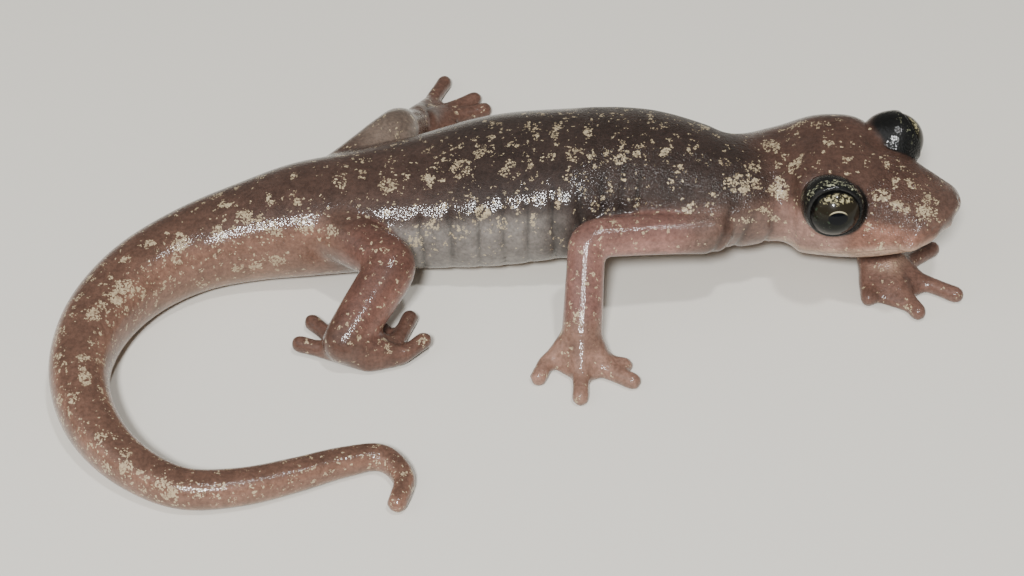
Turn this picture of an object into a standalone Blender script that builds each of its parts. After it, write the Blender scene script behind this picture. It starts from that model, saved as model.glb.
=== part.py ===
"""Still, life-size model of a cave salamander, standing with its tail curled round.

The animal faces +X with its right side towards -Y, and the floor is z = 0.
Sizes are written in millimetres and turned into metres where the meshes are made.
"""
import math

import bmesh
import bpy
import numpy as np
from mathutils import Matrix, Vector

MM = 0.001
GAP = 0.3
ORIGIN_SHIFT = Vector((-0.32, -0.95, 0.0))
UPWARD = Vector((0, 0, 1))
CUTTER_SIZE = 60.0

# The skull turns towards the right side of the body, about the point midway between the eyes.
HEAD_YAW = math.radians(-34.5)
EYES_MIDDLE = (22.2, 2.0)
SNOUT_LENGTH = 6.25
SNOUT_BLUNT_LENGTH = 1.6
SNOUT_BLUNT_POWER = 2.3
# Each head row: distance behind the snout tip, level of the widest line, half width, rise, drop.
HEAD_ROWS = (
    (0.0, 6.9, 2.6, 1.05, 1.0),
    (1.0, 6.45, 3.0, 1.6, 1.1),
    (3.0, 5.85, 3.6, 2.7, 1.75),
    (6.3, 5.35, 4.35, 3.6, 2.9),
    (9.7, 5.2, 4.85, 4.05, 3.4),
)
# Each body row: x, y, level of the widest line, half width, rise, drop, from neck to tail tip.
BODY_ROWS = (
    (17.2, 4.2, 5.4, 4.25, 2.85, 3.15),
    (14.5, 3.2, 5.7, 3.9, 2.95, 3.25),
    (12.0, 3.3, 5.8, 4.3, 3.4, 3.4),
    (8.2, 4.4, 5.5, 4.9, 3.9, 3.8),
    (3.1, 4.7, 4.9, 5.3, 4.1, 4.1),
    (-0.8, 4.7, 4.4, 5.4, 4.1, 4.15),
    (-6.3, 4.1, 3.8, 4.6, 3.6, 3.75),
    (-10.8, 3.4, 3.5, 4.0, 3.4, 3.5),
    (-13.7, 2.9, 3.3, 3.7, 3.4, 3.35),
    (-16.9, 2.1, 3.0, 3.1, 3.1, 3.05),
    (-20.2, 0.9, 2.65, 2.7, 2.7, 2.7),
    (-24.0, -2.3, 2.35, 2.35, 2.4, 2.4),
    (-25.9, -6.0, 2.1, 2.1, 2.2, 2.15),
    (-26.3, -10.0, 1.85, 1.85, 1.9, 1.9),
    (-25.0, -13.9, 1.6, 1.65, 1.65, 1.65),
    (-22.3, -17.1, 1.35, 1.35, 1.4, 1.4),
    (-19.2, -18.7, 1.15, 1.2, 1.2, 1.2),
    (-15.9, -18.5, 1.05, 1.1, 1.1, 1.1),
    (-12.6, -17.4, 0.95, 1.0, 1.0, 1.0),
    (-9.9, -16.3, 0.85, 0.9, 0.9, 0.9),
    (-7.6, -15.9, 0.75, 0.8, 0.8, 0.8),
    (-6.4, -17.3, 0.65, 0.7, 0.7, 0.7),
    (-6.8, -19.9, 0.55, 0.6, 0.6, 0.6),
)
SECTION_POWER = 2.3
TURN_SPREAD = 2.2

# Places where the body is parted, as x values of the body rows they stand at.
NECK_FRONT = 17.0
NECK_REAR = 14.0
TORSO_MIDDLE = 3.1
VENT = -11.5
TAIL_CUTS = (-20.2, -26.3, -19.2, -9.9)

GROOVE_COUNT = 11
GROOVE_FIRST_X = 9.8
GROOVE_SPACING = 1.85
GROOVE_DEPTH = 0.28

# Swellings and hollows of the skull on both sides: forward, side, level, spread and height.
HEAD_SWELLINGS = (
    (-2.5, 3.4, 8.5, 1.7, 0.45),
    (-5.2, 1.9, 9.1, 1.7, 0.25),
    (3.3, 3.5, 6.9, 1.1, -0.16),
)
EYE_RADIUS = 1.6
EYE_GAP = 0.25
EYE_SIDE = 4.15
# The head rolls a little to its left, so its left eye (side 1) lies lower than the right one.
EYE_LEVELS = {1: 7.85, -1: 8.05}
EYE_FORWARD_TURN = math.radians(34)
EYE_UPWARD_TURN = math.radians(18)
LID_RADIUS = 2.2
LID_PLANE = 0.8
LIP_LOBE = (4.9, 2.85, 6.45)
LIP_LOBE_RADIUS = 0.48
NOSTRIL = (5.85, 1.6, 7.4)
NOSTRIL_RADIUS = 0.3
# The line of the mouth climbs towards the snout, from its corner below and behind the eye.
MOUTH_LEVEL = 6.4
MOUTH_SLOPE = 0.33
MOUTH_LIP = 0.22
MOUTH_DEPTH = 0.35
MOUTH_CORNER = 8.5
MOUTH_FADE = 1.5
MOUTH_LINE_WIDTH = 0.03

TOE_RADIUS = 0.54
PALM_RADIUS = 0.68
WEB_RADIUS = 0.4
SOLE_SINK = 0.07
# Each leg: root, bend, wrist and palm, radii down the upper and the lower piece, and the toes
# by knuckle and tip. A web reaches out along its two toes by a share of the way to the knuckle.
LEGS = {
    ("upper_arm_right", "forearm_right", "hand_right"): {
        "root": (12.4, -0.9, 5.6), "joint": (4.65, -2.15, 6.1),
        "wrist": (4.33, -6.3, 1.9), "palm": (4.3, -7.2, 0.6),
        "upper": (1.45, 1.32, 1.27, 1.25), "lower": (1.2, 1.2, 1.25, 1.28), "wrist_radius": 1.15,
        "toes": (((2.2, -7.2, 0.5), (1.45, -9.2, 0.46)), ((4.25, -9.0, 0.45), (4.16, -11.0, 0.46)),
                 ((6.0, -8.2, 0.45), (7.9, -9.3, 0.46)), ((6.0, -7.4, 0.45), (7.5, -7.7, 0.46))),
        "web_reach": (0.87, 0.87, 0.87), "level_wrist": True,
    },
    ("upper_arm_left", "forearm_left", "hand_left"): {
        "root": (13.3, 5.8, 4.2), "joint": (18.6, 8.3, 1.9),
        "wrist": (23.4, 2.2, 1.5), "palm": (24.2, 0.9, 0.6),
        "upper": (1.25, 1.2, 1.15, 1.15), "lower": (1.15, 1.12, 1.1, 1.15), "wrist_radius": 1.25,
        "toes": (((22.8, 0.5, 0.5), (22.8, -2.0, 0.46)), ((25.0, -1.0, 0.5), (26.0, -3.3, 0.46)),
                 ((26.5, 0.0, 0.5), (28.9, -1.4, 0.46)), ((25.9, 2.0, 0.5), (27.9, 3.7, 0.46))),
        "web_reach": (1.6, 1.1, 0.87), "level_wrist": False,
    },
    ("thigh_right", "shank_right", "foot_right"): {
        "root": (-11.0, 0.6, 4.2), "joint": (-7.3, -2.8, 4.6),
        "wrist": (-10.3, -6.8, 1.7), "palm": (-8.9, -7.6, 0.6),
        "upper": (1.8, 1.7, 1.6, 1.6), "lower": (1.6, 1.6, 1.55, 1.45), "wrist_radius": 1.3,
        "toes": (((-11.6, -6.5, 0.5), (-13.8, -5.7, 0.5)), ((-11.3, -5.2, 0.5), (-13.0, -3.4, 0.5)),
                 ((-8.5, -5.6, 0.5), (-8.0, -3.9, 0.46)), ((-7.2, -5.8, 0.5), (-6.3, -2.9, 0.5)),
                 ((-6.7, -7.1, 0.6), (-5.1, -5.6, 0.9))),
        "web_reach": (0.87, 0.87, 0.87, 0.95), "level_wrist": True,
    },
    ("thigh_left", "shank_left", "foot_left"): {
        "root": (-11.2, 6.0, 4.4), "joint": (-7.6, 9.9, 5.3),
        "wrist": (-6.9, 14.9, 1.6), "palm": (-6.1, 16.7, 0.6),
        "upper": (1.6, 1.5, 1.45, 1.4), "lower": (1.4, 1.33, 1.2, 1.1), "wrist_radius": 1.1,
        "toes": (((-5.6, 19.3, 0.5), (-4.6, 21.9, 0.46)), ((-4.3, 18.2, 0.5), (-2.2, 19.8, 0.46)),
                 ((-3.9, 17.4, 0.5), (-1.4, 18.4, 0.46)), ((-4.3, 16.0, 0.5), (-2.4, 15.4, 0.46)),
                 ((-5.2, 15.0, 0.5), (-4.2, 13.6, 0.46))),
        "web_reach": (0.95, 0.87, 0.87, 0.87), "level_wrist": True,
    },
}

SKIN_DARK = (0.055, 0.035, 0.032, 1.0)
SKIN_GREY = (0.09, 0.075, 0.08, 1.0)
SKIN_TAIL = (0.14, 0.065, 0.05, 1.0)
SKIN_LIMB = (0.2, 0.085, 0.065, 1.0)
SKIN_HAND = (0.27, 0.13, 0.11, 1.0)
EYE_DARK = (0.01, 0.009, 0.008, 1.0)


def clear_scene():
    for existing in list(bpy.data.objects):
        bpy.data.objects.remove(existing, do_unlink=True)


def make_object(name, bm):
    """Turn a bmesh in millimetres into a named object in metres."""
    bmesh.ops.scale(bm, vec=(MM, MM, MM), verts=bm.verts)
    bmesh.ops.recalc_face_normals(bm, faces=bm.faces)
    mesh = bpy.data.meshes.new(name)
    bm.to_mesh(mesh)
    bm.free()
    made = bpy.data.objects.new(name, mesh)
    bpy.context.scene.collection.objects.link(made)
    return made


def join_rings(rings):
    """Bridge a row of closed rings of points and close both ends."""
    bm = bmesh.new()
    loops = []
    for ring in rings:
        loops.append([bm.verts.new(point) for point in ring])
    count = len(rings[0])
    for before, after in zip(loops, loops[1:]):
        for i in range(count):
            j = (i + 1) % count
            bm.faces.new((before[i], before[j], after[j], after[i]))
    bm.faces.new(loops[0][::-1])
    bm.faces.new(loops[-1])
    return bm


def smooth_rows(knots, rows, at):
    """Cubic curve through rows of values at the given knots."""
    knots = np.asarray(knots)
    rows = np.asarray(rows)
    slopes = np.gradient(rows, knots, axis=0)
    at = float(np.clip(at, knots[0], knots[-1]))
    k = int(min(np.searchsorted(knots, at, side="right") - 1, len(knots) - 2))
    span = knots[k + 1] - knots[k]
    t = (at - knots[k]) / span
    start = (1 + 2 * t) * (1 - t) ** 2 * rows[k] + t * (1 - t) ** 2 * span * slopes[k]
    end = t * t * (3 - 2 * t) * rows[k + 1] + t * t * (t - 1) * span * slopes[k + 1]
    return start + end


def head_place(forward, left):
    """Plan position of a point given in the skull's own directions."""
    c = math.cos(HEAD_YAW)
    s = math.sin(HEAD_YAW)
    return EYES_MIDDLE[0] + forward * c - left * s, EYES_MIDDLE[1] + forward * s + left * c


def build_spine():
    """All rows from snout to tail tip with their distance along the body."""
    rows = []
    for behind, level, half_width, rise, drop in HEAD_ROWS:
        x, y = head_place(SNOUT_LENGTH - behind, 0.0)
        rows.append((x, y, level, half_width, rise, drop))
    rows.extend(BODY_ROWS)
    rows = np.array(rows)
    steps = np.hypot(np.diff(rows[:, 0]), np.diff(rows[:, 1]))
    return np.concatenate(([0.0], np.cumsum(steps))), rows


SPINE_KNOTS, SPINE_ROWS = build_spine()
BODY_START = len(HEAD_ROWS)
BODY_LENGTH = float(SPINE_KNOTS[-1])
TAIL_TIP_RADIUS = BODY_ROWS[-1][3]


def place_of_x(x, first=0):
    """Distance along the body at which the spine passes x, searched from a given body row."""
    for k in range(BODY_START + first, len(SPINE_KNOTS) - 1):
        a = SPINE_ROWS[k][0]
        b = SPINE_ROWS[k + 1][0]
        if min(a, b) <= x <= max(a, b):
            return SPINE_KNOTS[k] + (SPINE_KNOTS[k + 1] - SPINE_KNOTS[k]) * (x - a) / (b - a)
    raise ValueError("the spine does not pass x = %s" % x)


def blunt(distance, length, power):
    """Closing factor of a rounded end, 0 at the tip and 1 from the given length on."""
    part = min(max(distance / length, 0.0), 1.0)
    return (1.0 - (1.0 - part) ** power) ** (1.0 / power)


def groove_depth(at):
    """How far the flank is drawn in by the costal grooves at a distance along the body."""
    first = place_of_x(GROOVE_FIRST_X)
    last = first + (GROOVE_COUNT - 1) * GROOVE_SPACING
    if at < first - 0.5 * GROOVE_SPACING or at > last + 0.5 * GROOVE_SPACING:
        return 0.0
    phase = (at - first) / GROOVE_SPACING
    off = abs(phase - round(phase))
    return GROOVE_DEPTH * max(0.0, 1.0 - off / 0.25)


def body_ring(at, count, swell=0.0, grooved=True):
    """One cross-section of the body, flat where it meets the floor."""
    x, y, level, half_width, rise, drop = smooth_rows(SPINE_KNOTS, SPINE_ROWS, at)
    ahead = smooth_rows(SPINE_KNOTS, SPINE_ROWS, max(at - TURN_SPREAD, 0.0))
    behind = smooth_rows(SPINE_KNOTS, SPINE_ROWS, min(at + TURN_SPREAD, BODY_LENGTH))
    forward = Vector((ahead[0] - behind[0], ahead[1] - behind[1], 0.0)).normalized()
    left = Vector((-forward.y, forward.x, 0.0))
    closing = blunt(at, SNOUT_BLUNT_LENGTH, SNOUT_BLUNT_POWER)
    closing *= blunt(BODY_LENGTH - at, TAIL_TIP_RADIUS, 2.0)
    half_width = half_width * closing + swell
    rise = rise * closing + swell
    drop = drop * closing + swell
    inset = groove_depth(at) if grooved else 0.0
    points = []
    for i in range(count):
        angle = 2 * math.pi * i / count
        c = math.cos(angle)
        s = math.sin(angle)
        reach = math.copysign(abs(c) ** (2 / SECTION_POWER), c) * half_width
        height = math.copysign(abs(s) ** (2 / SECTION_POWER), s) * (rise if s > 0 else drop)
        reach -= math.copysign(inset * abs(c) ** 2, c)
        point = Vector((x, y, 0.0)) + left * reach
        point.z = max(level + height, 0.0 if swell == 0.0 else -1.0)
        points.append(point)
    return points


def body_length(name, start, end, step, count, swell=0.0, grooved=True):
    """One closed length of the body between two distances along it."""
    pieces = max(2, math.ceil((end - start) / step))
    rings = [body_ring(start + (end - start) * k / pieces, count, swell, grooved)
             for k in range(pieces + 1)]
    return make_object(name, join_rings(rings))


def tube(name, start, end, radii, sides):
    """A straight limb piece with domed ends and given radii along it."""
    start = Vector(start)
    end = Vector(end)
    axis = (end - start).normalized()
    across = axis.cross(Vector((0, 0, 1)))
    if across.length < 0.1:
        across = axis.cross(Vector((0, 1, 0)))
    across.normalize()
    over = axis.cross(across)
    stations = []
    for angle in (15, 40, 65):
        a = math.radians(angle)
        stations.append((start - axis * radii[0] * math.cos(a), radii[0] * math.sin(a)))
    for k, radius in enumerate(radii):
        stations.append((start.lerp(end, k / (len(radii) - 1)), radius))
    for angle in (65, 40, 15):
        a = math.radians(angle)
        stations.append((end + axis * radii[-1] * math.cos(a), radii[-1] * math.sin(a)))
    rings = []
    for centre, radius in stations:
        ring = []
        for i in range(sides):
            a = 2 * math.pi * i / sides
            ring.append(centre + across * (radius * math.cos(a)) + over * (radius * math.sin(a)))
        rings.append(ring)
    return make_object(name, join_rings(rings))


def keep_side(target, point, normal, solver="EXACT"):
    """Cut a closed object with a plane and keep the part on the side the normal points to."""
    turn = Vector(normal).to_track_quat("Z", "Y").to_matrix().to_4x4()
    centre = Vector(point) - Vector(normal).normalized() * CUTTER_SIZE / 2
    bm = bmesh.new()
    bmesh.ops.create_cube(bm, size=CUTTER_SIZE, matrix=Matrix.Translation(centre) @ turn)
    apply_boolean(target, [make_object("cutter", bm)], "DIFFERENCE", solver)


def apply_boolean(target, tools, operation, solver="EXACT"):
    """Apply one Boolean with a collection of closed objects, which are then removed.

    The head and the paws use the manifold solver, because the exact one leaves open edges there.
    """
    group = bpy.data.collections.new("tools")
    for tool in tools:
        group.objects.link(tool)
    modifier = target.modifiers.new("shape", "BOOLEAN")
    modifier.operation = operation
    modifier.operand_type = "COLLECTION"
    modifier.collection = group
    modifier.solver = solver
    evaluated = target.evaluated_get(bpy.context.evaluated_depsgraph_get())
    mesh = bpy.data.meshes.new_from_object(evaluated)
    target.modifiers.clear()
    target.data = mesh
    for tool in tools:
        bpy.data.objects.remove(tool, do_unlink=True)
    bpy.data.collections.remove(group)


def keep_largest(target):
    """Merge stray points, split into triangles and keep the largest closed surface."""
    bm = bmesh.new()
    bm.from_mesh(target.data)
    bmesh.ops.remove_doubles(bm, verts=bm.verts, dist=1e-6)
    bmesh.ops.dissolve_degenerate(bm, edges=bm.edges, dist=1e-6)
    bmesh.ops.triangulate(bm, faces=bm.faces)
    left = set(bm.verts)
    groups = []
    while left:
        group = set()
        open_verts = [left.pop()]
        while open_verts:
            vert = open_verts.pop()
            group.add(vert)
            for edge in vert.link_edges:
                other = edge.other_vert(vert)
                if other in left:
                    left.remove(other)
                    open_verts.append(other)
        groups.append(group)
    groups.sort(key=len, reverse=True)
    loose = [vert for group in groups[1:] for vert in group]
    bmesh.ops.delete(bm, geom=loose, context="VERTS")
    bmesh.ops.recalc_face_normals(bm, faces=bm.faces)
    bm.to_mesh(target.data)
    bm.free()


def finish(target, colour, roughness=0.25):
    """Give a node its place, its own material and smooth shading."""
    keep_largest(target)
    target.data.transform(Matrix.Translation(ORIGIN_SHIFT * MM))
    for vert in target.data.vertices:
        vert.co.z = max(vert.co.z, 0.0)
    material = bpy.data.materials.new(target.name + "_material")
    material.use_nodes = True
    shader = material.node_tree.nodes["Principled BSDF"]
    shader.inputs["Base Color"].default_value = colour
    shader.inputs["Roughness"].default_value = roughness
    shader.inputs["Metallic"].default_value = 0.0
    target.data.materials.clear()
    target.data.materials.append(material)
    target.data.shade_smooth()
    return target


def ball(name, centre, radius, segments=16, rings=10, turn=None):
    """A closed ball, with its pole along +Z unless it is turned."""
    bm = bmesh.new()
    bmesh.ops.create_uvsphere(bm, u_segments=segments, v_segments=rings, radius=radius)
    if turn is not None:
        bmesh.ops.rotate(bm, cent=(0, 0, 0), matrix=turn, verts=bm.verts)
    bmesh.ops.translate(bm, vec=centre, verts=bm.verts)
    return make_object(name, bm)


def eye_frame(side):
    """Centre and outward direction of one eye, side is 1 for left and -1 for right."""
    x, y = head_place(0.0, side * EYE_SIDE)
    turn = HEAD_YAW + side * (math.pi / 2 - EYE_FORWARD_TURN)
    outward = Vector((math.cos(turn) * math.cos(EYE_UPWARD_TURN),
                      math.sin(turn) * math.cos(EYE_UPWARD_TURN),
                      math.sin(EYE_UPWARD_TURN)))
    return Vector((x, y, EYE_LEVELS[side])), outward


def build_eye(side):
    """One eyeball, with its pole along the direction it looks in."""
    centre, outward = eye_frame(side)
    turn = outward.to_track_quat("Z", "Y").to_matrix()
    name = "eye_left" if side > 0 else "eye_right"
    eye = ball(name, centre, EYE_RADIUS, 16, 10, turn)
    return finish(eye, EYE_DARK, 0.05)


def swell_skull(head):
    """Raise the brows and the crown and draw the cheeks in a little, alike on both sides."""
    bm = bmesh.new()
    bm.from_mesh(head.data)
    bm.normal_update()
    for forward, side, level, spread, height in HEAD_SWELLINGS:
        for sign in (1, -1):
            centre = Vector((*head_place(forward, sign * side), level))
            for vert in bm.verts:
                distance = (vert.co / MM - centre).length
                vert.co += vert.normal * height * math.exp(-(distance / spread) ** 2) * MM
    bm.to_mesh(head.data)
    bm.free()


def draw_mouth(head):
    """Draw the line of the mouth into the head as a groove between two lips."""
    bm = bmesh.new()
    bm.from_mesh(head.data)
    tip = Vector((*head_place(SNOUT_LENGTH, 0.0), MOUTH_LEVEL))
    ahead = Vector((math.cos(HEAD_YAW), math.sin(HEAD_YAW), 0.0))
    upright = (Vector((0, 0, 1)) - ahead * MOUTH_SLOPE).normalized()
    for offset in (MOUTH_LIP, -MOUTH_LIP, 0.0):
        geometry = list(bm.verts) + list(bm.edges) + list(bm.faces)
        bmesh.ops.bisect_plane(bm, geom=geometry, dist=2e-5,
                               plane_co=(tip + upright * offset) * MM, plane_no=upright)
    bm.normal_update()
    for vert in bm.verts:
        if abs((vert.co / MM - tip).dot(upright)) > MOUTH_LINE_WIDTH:
            continue
        reach = (vert.co / MM - tip).dot(ahead) + MOUTH_CORNER
        if reach <= 0.0:
            continue
        normal = vert.normal.copy()
        normal.z = 0.0
        vert.co -= normal.normalized() * MOUTH_DEPTH * MM * min(1.0, reach / MOUTH_FADE)
    bm.to_mesh(head.data)
    bm.free()


def build_head():
    """Skull, snout, lids, lips and nostrils in one solid with sockets for the eyes."""
    end = place_of_x(NECK_FRONT) - GAP / 2
    rounded = [0.03, 0.12, 0.28, 0.5, 0.8, 1.2]
    even = list(np.linspace(1.8, end, 17))
    rings = [body_ring(at, 32) for at in rounded + even]
    head = make_object("head", join_rings(rings))
    swell_skull(head)
    draw_mouth(head)
    lids = []
    sockets = []
    for side in (1, -1):
        centre, outward = eye_frame(side)
        turn = outward.to_track_quat("Z", "Y").to_matrix()
        lid = ball("lid", centre, LID_RADIUS, 20, 12, turn)
        keep_side(lid, centre + outward * LID_PLANE, -outward)
        lids.append(lid)
        sockets.append(ball("socket", centre, EYE_RADIUS + EYE_GAP, 20, 12, turn))
        for place, radius, kind in ((LIP_LOBE, LIP_LOBE_RADIUS, lids), (NOSTRIL, NOSTRIL_RADIUS, sockets)):
            forward, left, level = place
            x, y = head_place(forward, side * left)
            kind.append(ball("dab", (x, y, level), radius, 10, 6))
    apply_boolean(head, lids, "UNION", "MANIFOLD")
    apply_boolean(head, sockets, "DIFFERENCE", "MANIFOLD")
    return finish(head, SKIN_DARK)


def body_cutter():
    """The body from the snout to the tail root swollen by the gap, for trimming what meets it."""
    tail_root_end = place_of_x(TAIL_CUTS[0])
    return body_length("body_cutter", SNOUT_BLUNT_LENGTH / 3, tail_root_end, 1.3, 40, GAP, False)


def build_body():
    """Neck, torso and tail lengths, each a closed length of the same body."""
    half = GAP / 2
    neck_front = place_of_x(NECK_FRONT)
    neck_rear = place_of_x(NECK_REAR)
    middle = place_of_x(TORSO_MIDDLE)
    vent = place_of_x(VENT)
    groove_step = GROOVE_SPACING / 4
    finish(body_length("neck", neck_front + half, neck_rear - half, 0.8, 28), SKIN_DARK)
    finish(body_length("torso_front", neck_rear + half, middle - half, groove_step, 28), SKIN_GREY)
    finish(body_length("torso_rear", middle + half, vent - half, groove_step, 28), SKIN_GREY)
    cuts = [vent]
    rows_passed = (7, 10, 13, 17)
    for x, first in zip(TAIL_CUTS, rows_passed):
        cuts.append(place_of_x(x, first))
    names = ("tail_root", "tail_bend", "tail_turn", "tail_return")
    for name, start, end in zip(names, cuts, cuts[1:]):
        finish(body_length(name, start + half, end - half, 1.1, 20), SKIN_TAIL)
    start = cuts[-1] + half
    rings = [body_ring(at, 16) for at in np.linspace(start, BODY_LENGTH - 0.6, 9)]
    rings += [body_ring(BODY_LENGTH - rest, 16) for rest in (0.4, 0.2, 0.07, 0.015)]
    finish(make_object("tail_tip", join_rings(rings)), SKIN_TAIL)


def hull_of_balls(name, clusters):
    """The closed hull round a few small balls, each a centre and a radius."""
    pattern = bmesh.new()
    bmesh.ops.create_icosphere(pattern, subdivisions=1, radius=1.0)
    directions = [vert.co.copy() for vert in pattern.verts]
    pattern.free()
    bm = bmesh.new()
    for centre, radius in clusters:
        for direction in directions:
            bm.verts.new(centre + direction * radius)
    hull = bmesh.ops.convex_hull(bm, input=bm.verts)
    spare = set(hull["geom_interior"]) | set(hull["geom_unused"])
    verts = [vert for vert in bm.verts if vert in spare or not vert.link_faces]
    bmesh.ops.delete(bm, geom=verts, context="VERTS")
    return make_object(name, bm)


def toe_place(palm, toe, share):
    """Point on the way from the palm to a toe's knuckle, and past it towards the tip."""
    if share < 1.0:
        return palm.lerp(toe[0], share)
    return toe[0].lerp(toe[1], share - 1.0)


def paw_forms(leg, wrist, palm, toes):
    """Webs, toe roots and toes of a hand or foot, as closed objects that run into each other."""
    forms = []
    ankle = (wrist, leg["wrist_radius"])
    for before, after, reach in zip(toes, toes[1:], leg["web_reach"]):
        balls = [ankle, (palm, PALM_RADIUS)]
        for toe in (before, after):
            edge = toe_place(palm, toe, reach)
            balls.append((Vector((edge.x, edge.y, WEB_RADIUS - SOLE_SINK)), WEB_RADIUS))
        forms.append(hull_of_balls("web", balls))
    for toe in toes:
        knuckle = (toe_place(palm, toe, 0.9), TOE_RADIUS)
        end = toe[1] + (toe[0] - toe[1]).normalized() * TOE_RADIUS
        forms.append(hull_of_balls("toe_root", [ankle, (palm, PALM_RADIUS), knuckle]))
        forms.append(hull_of_balls("toe", [(toe_place(palm, toe, 0.7), TOE_RADIUS), (toe[0], TOE_RADIUS)]))
        forms.append(hull_of_balls("toe", [(toe[0], TOE_RADIUS), (end, TOE_RADIUS)]))
    return forms


def build_leg(names, leg):
    """One leg of three nodes: upper piece, lower piece and paw, parted at bend and wrist."""
    root, joint, wrist, palm = (Vector(leg[key]) for key in ("root", "joint", "wrist", "palm"))
    toes = [[Vector(point) for point in toe] for toe in leg["toes"]]
    bend = ((joint - root).normalized() + (wrist - joint).normalized()).normalized()
    down = -UPWARD if leg["level_wrist"] else (wrist - joint).normalized()
    upper_piece = tube(names[0], root, joint, leg["upper"], 14)
    keep_side(upper_piece, joint - bend * GAP / 2, -bend)
    lower_piece = tube(names[1], joint, wrist, leg["lower"], 14)
    keep_side(lower_piece, joint + bend * GAP / 2, bend)
    keep_side(lower_piece, wrist - down * GAP / 2, -down)
    forms = paw_forms(leg, wrist, palm, toes)
    paw = forms.pop()
    paw.name = names[2]
    apply_boolean(paw, forms, "UNION", "MANIFOLD")
    keep_side(paw, (0, 0, 0), UPWARD, "MANIFOLD")
    keep_side(paw, wrist + down * GAP / 2, down, "MANIFOLD")
    for piece, colour in ((upper_piece, SKIN_LIMB), (lower_piece, SKIN_LIMB), (paw, SKIN_HAND)):
        apply_boolean(piece, [body_cutter()], "DIFFERENCE", "MANIFOLD")
        finish(piece, colour)


clear_scene()
build_head()
build_eye(1)
build_eye(-1)
build_body()
for leg_names, leg_shape in LEGS.items():
    build_leg(leg_names, leg_shape)
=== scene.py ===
import math

import bmesh
import bpy
import numpy as np
from mathutils import Matrix, Vector


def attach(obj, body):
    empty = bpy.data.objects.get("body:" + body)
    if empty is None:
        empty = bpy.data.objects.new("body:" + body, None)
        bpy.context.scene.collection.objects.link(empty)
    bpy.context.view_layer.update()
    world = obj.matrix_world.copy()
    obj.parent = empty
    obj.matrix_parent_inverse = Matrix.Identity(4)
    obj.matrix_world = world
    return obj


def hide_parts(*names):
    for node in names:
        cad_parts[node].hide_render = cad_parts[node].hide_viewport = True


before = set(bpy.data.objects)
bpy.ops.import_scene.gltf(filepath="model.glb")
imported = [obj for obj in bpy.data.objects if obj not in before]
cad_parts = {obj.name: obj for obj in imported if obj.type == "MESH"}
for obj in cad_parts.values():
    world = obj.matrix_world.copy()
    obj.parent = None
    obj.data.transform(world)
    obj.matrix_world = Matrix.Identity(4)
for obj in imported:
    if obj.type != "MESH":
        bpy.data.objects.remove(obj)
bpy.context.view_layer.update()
print("frame loaded,", len(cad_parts), "nodes")

# The animal is shaped in millimetres and turned into metres when a piece is finished.
mm = 0.001
originShift = Vector((-0.32, -0.95, 0.0))

bodyShape = {
    "headYaw": -34.5,          # degrees, the head looks towards the right side
    "eyesMiddle": (22.2, 2.0),
    "snoutLength": 6.25,
    "snoutBlunt": (1.6, 2.3),  # length and power of the rounded snout
    "sectionPower": 2.3,
    "headEnd": (14.0, 12.5),   # place along the body where the head's own shapes fade out
    "turnSpread": 2.2,
    "neckSpread": (13.0, 3.6, 1.7),   # place, reach and amount by which the neck turns more gently
    "ringStep": 0.4,
    "ringSides": 64,
    "evenRings": (1.15, 0.7),  # where evenly spaced rings start behind the snout and end before the tail tip
    "snoutRings": (0.02, 0.08, 0.2, 0.36, 0.58, 0.85),
    "tailRings": (0.62, 0.45, 0.3, 0.15, 0.05, 0.01),
    "tailPower": 2.0,          # the tail tip is a plain dome
    # behind the snout tip, level of the widest line, half width, rise, drop
    "headRows": (
        (0.0, 6.9, 2.6, 1.05, 1.0),
        (1.0, 6.45, 3.0, 1.6, 1.1),
        (3.0, 5.85, 3.6, 2.7, 1.75),
        (6.3, 5.35, 4.35, 3.6, 2.9),
        (9.7, 5.2, 4.85, 4.05, 3.4),
    ),
    # x, y, level of the widest line, half width, rise, drop
    "bodyRows": (
        (17.2, 4.2, 5.4, 4.25, 2.85, 3.15),
        (14.5, 3.2, 5.7, 3.9, 2.95, 3.25),
        (12.0, 3.3, 5.8, 4.3, 3.4, 3.4),
        (8.2, 4.4, 5.5, 4.9, 3.9, 3.8),
        (3.1, 4.7, 4.9, 5.3, 4.1, 4.1),
        (-0.8, 4.7, 4.4, 5.4, 4.1, 4.15),
        (-6.3, 4.1, 3.8, 4.6, 3.6, 3.75),
        (-10.8, 3.4, 3.5, 4.0, 3.4, 3.5),
        (-13.7, 2.9, 3.3, 3.7, 3.4, 3.35),
        (-16.9, 2.1, 3.0, 3.1, 3.1, 3.05),
        (-20.2, 0.9, 2.65, 2.7, 2.7, 2.7),
        (-24.0, -2.3, 2.35, 2.35, 2.4, 2.4),
        (-25.9, -6.0, 2.1, 2.1, 2.2, 2.15),
        (-26.3, -10.0, 1.85, 1.85, 1.9, 1.9),
        (-25.0, -13.9, 1.6, 1.65, 1.65, 1.65),
        (-22.3, -17.1, 1.35, 1.35, 1.4, 1.4),
        (-19.2, -18.7, 1.15, 1.2, 1.2, 1.2),
        (-15.9, -18.5, 1.05, 1.1, 1.1, 1.1),
        (-12.6, -17.4, 0.95, 1.0, 1.0, 1.0),
        (-9.9, -16.3, 0.85, 0.9, 0.9, 0.9),
        (-7.6, -15.9, 0.75, 0.8, 0.8, 0.8),
        (-6.4, -17.3, 0.65, 0.7, 0.7, 0.7),
        (-6.8, -19.9, 0.55, 0.6, 0.6, 0.6),
    ),
}

headYaw = math.radians(bodyShape["headYaw"])
headAhead = Vector((math.cos(headYaw), math.sin(headYaw), 0.0))
headLeft = Vector((-math.sin(headYaw), math.cos(headYaw), 0.0))
eyesMiddle = Vector((*bodyShape["eyesMiddle"], 0.0))


def headPoint(forward, left, level):
    return eyesMiddle + headAhead * forward + headLeft * left + Vector((0, 0, level))


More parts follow.
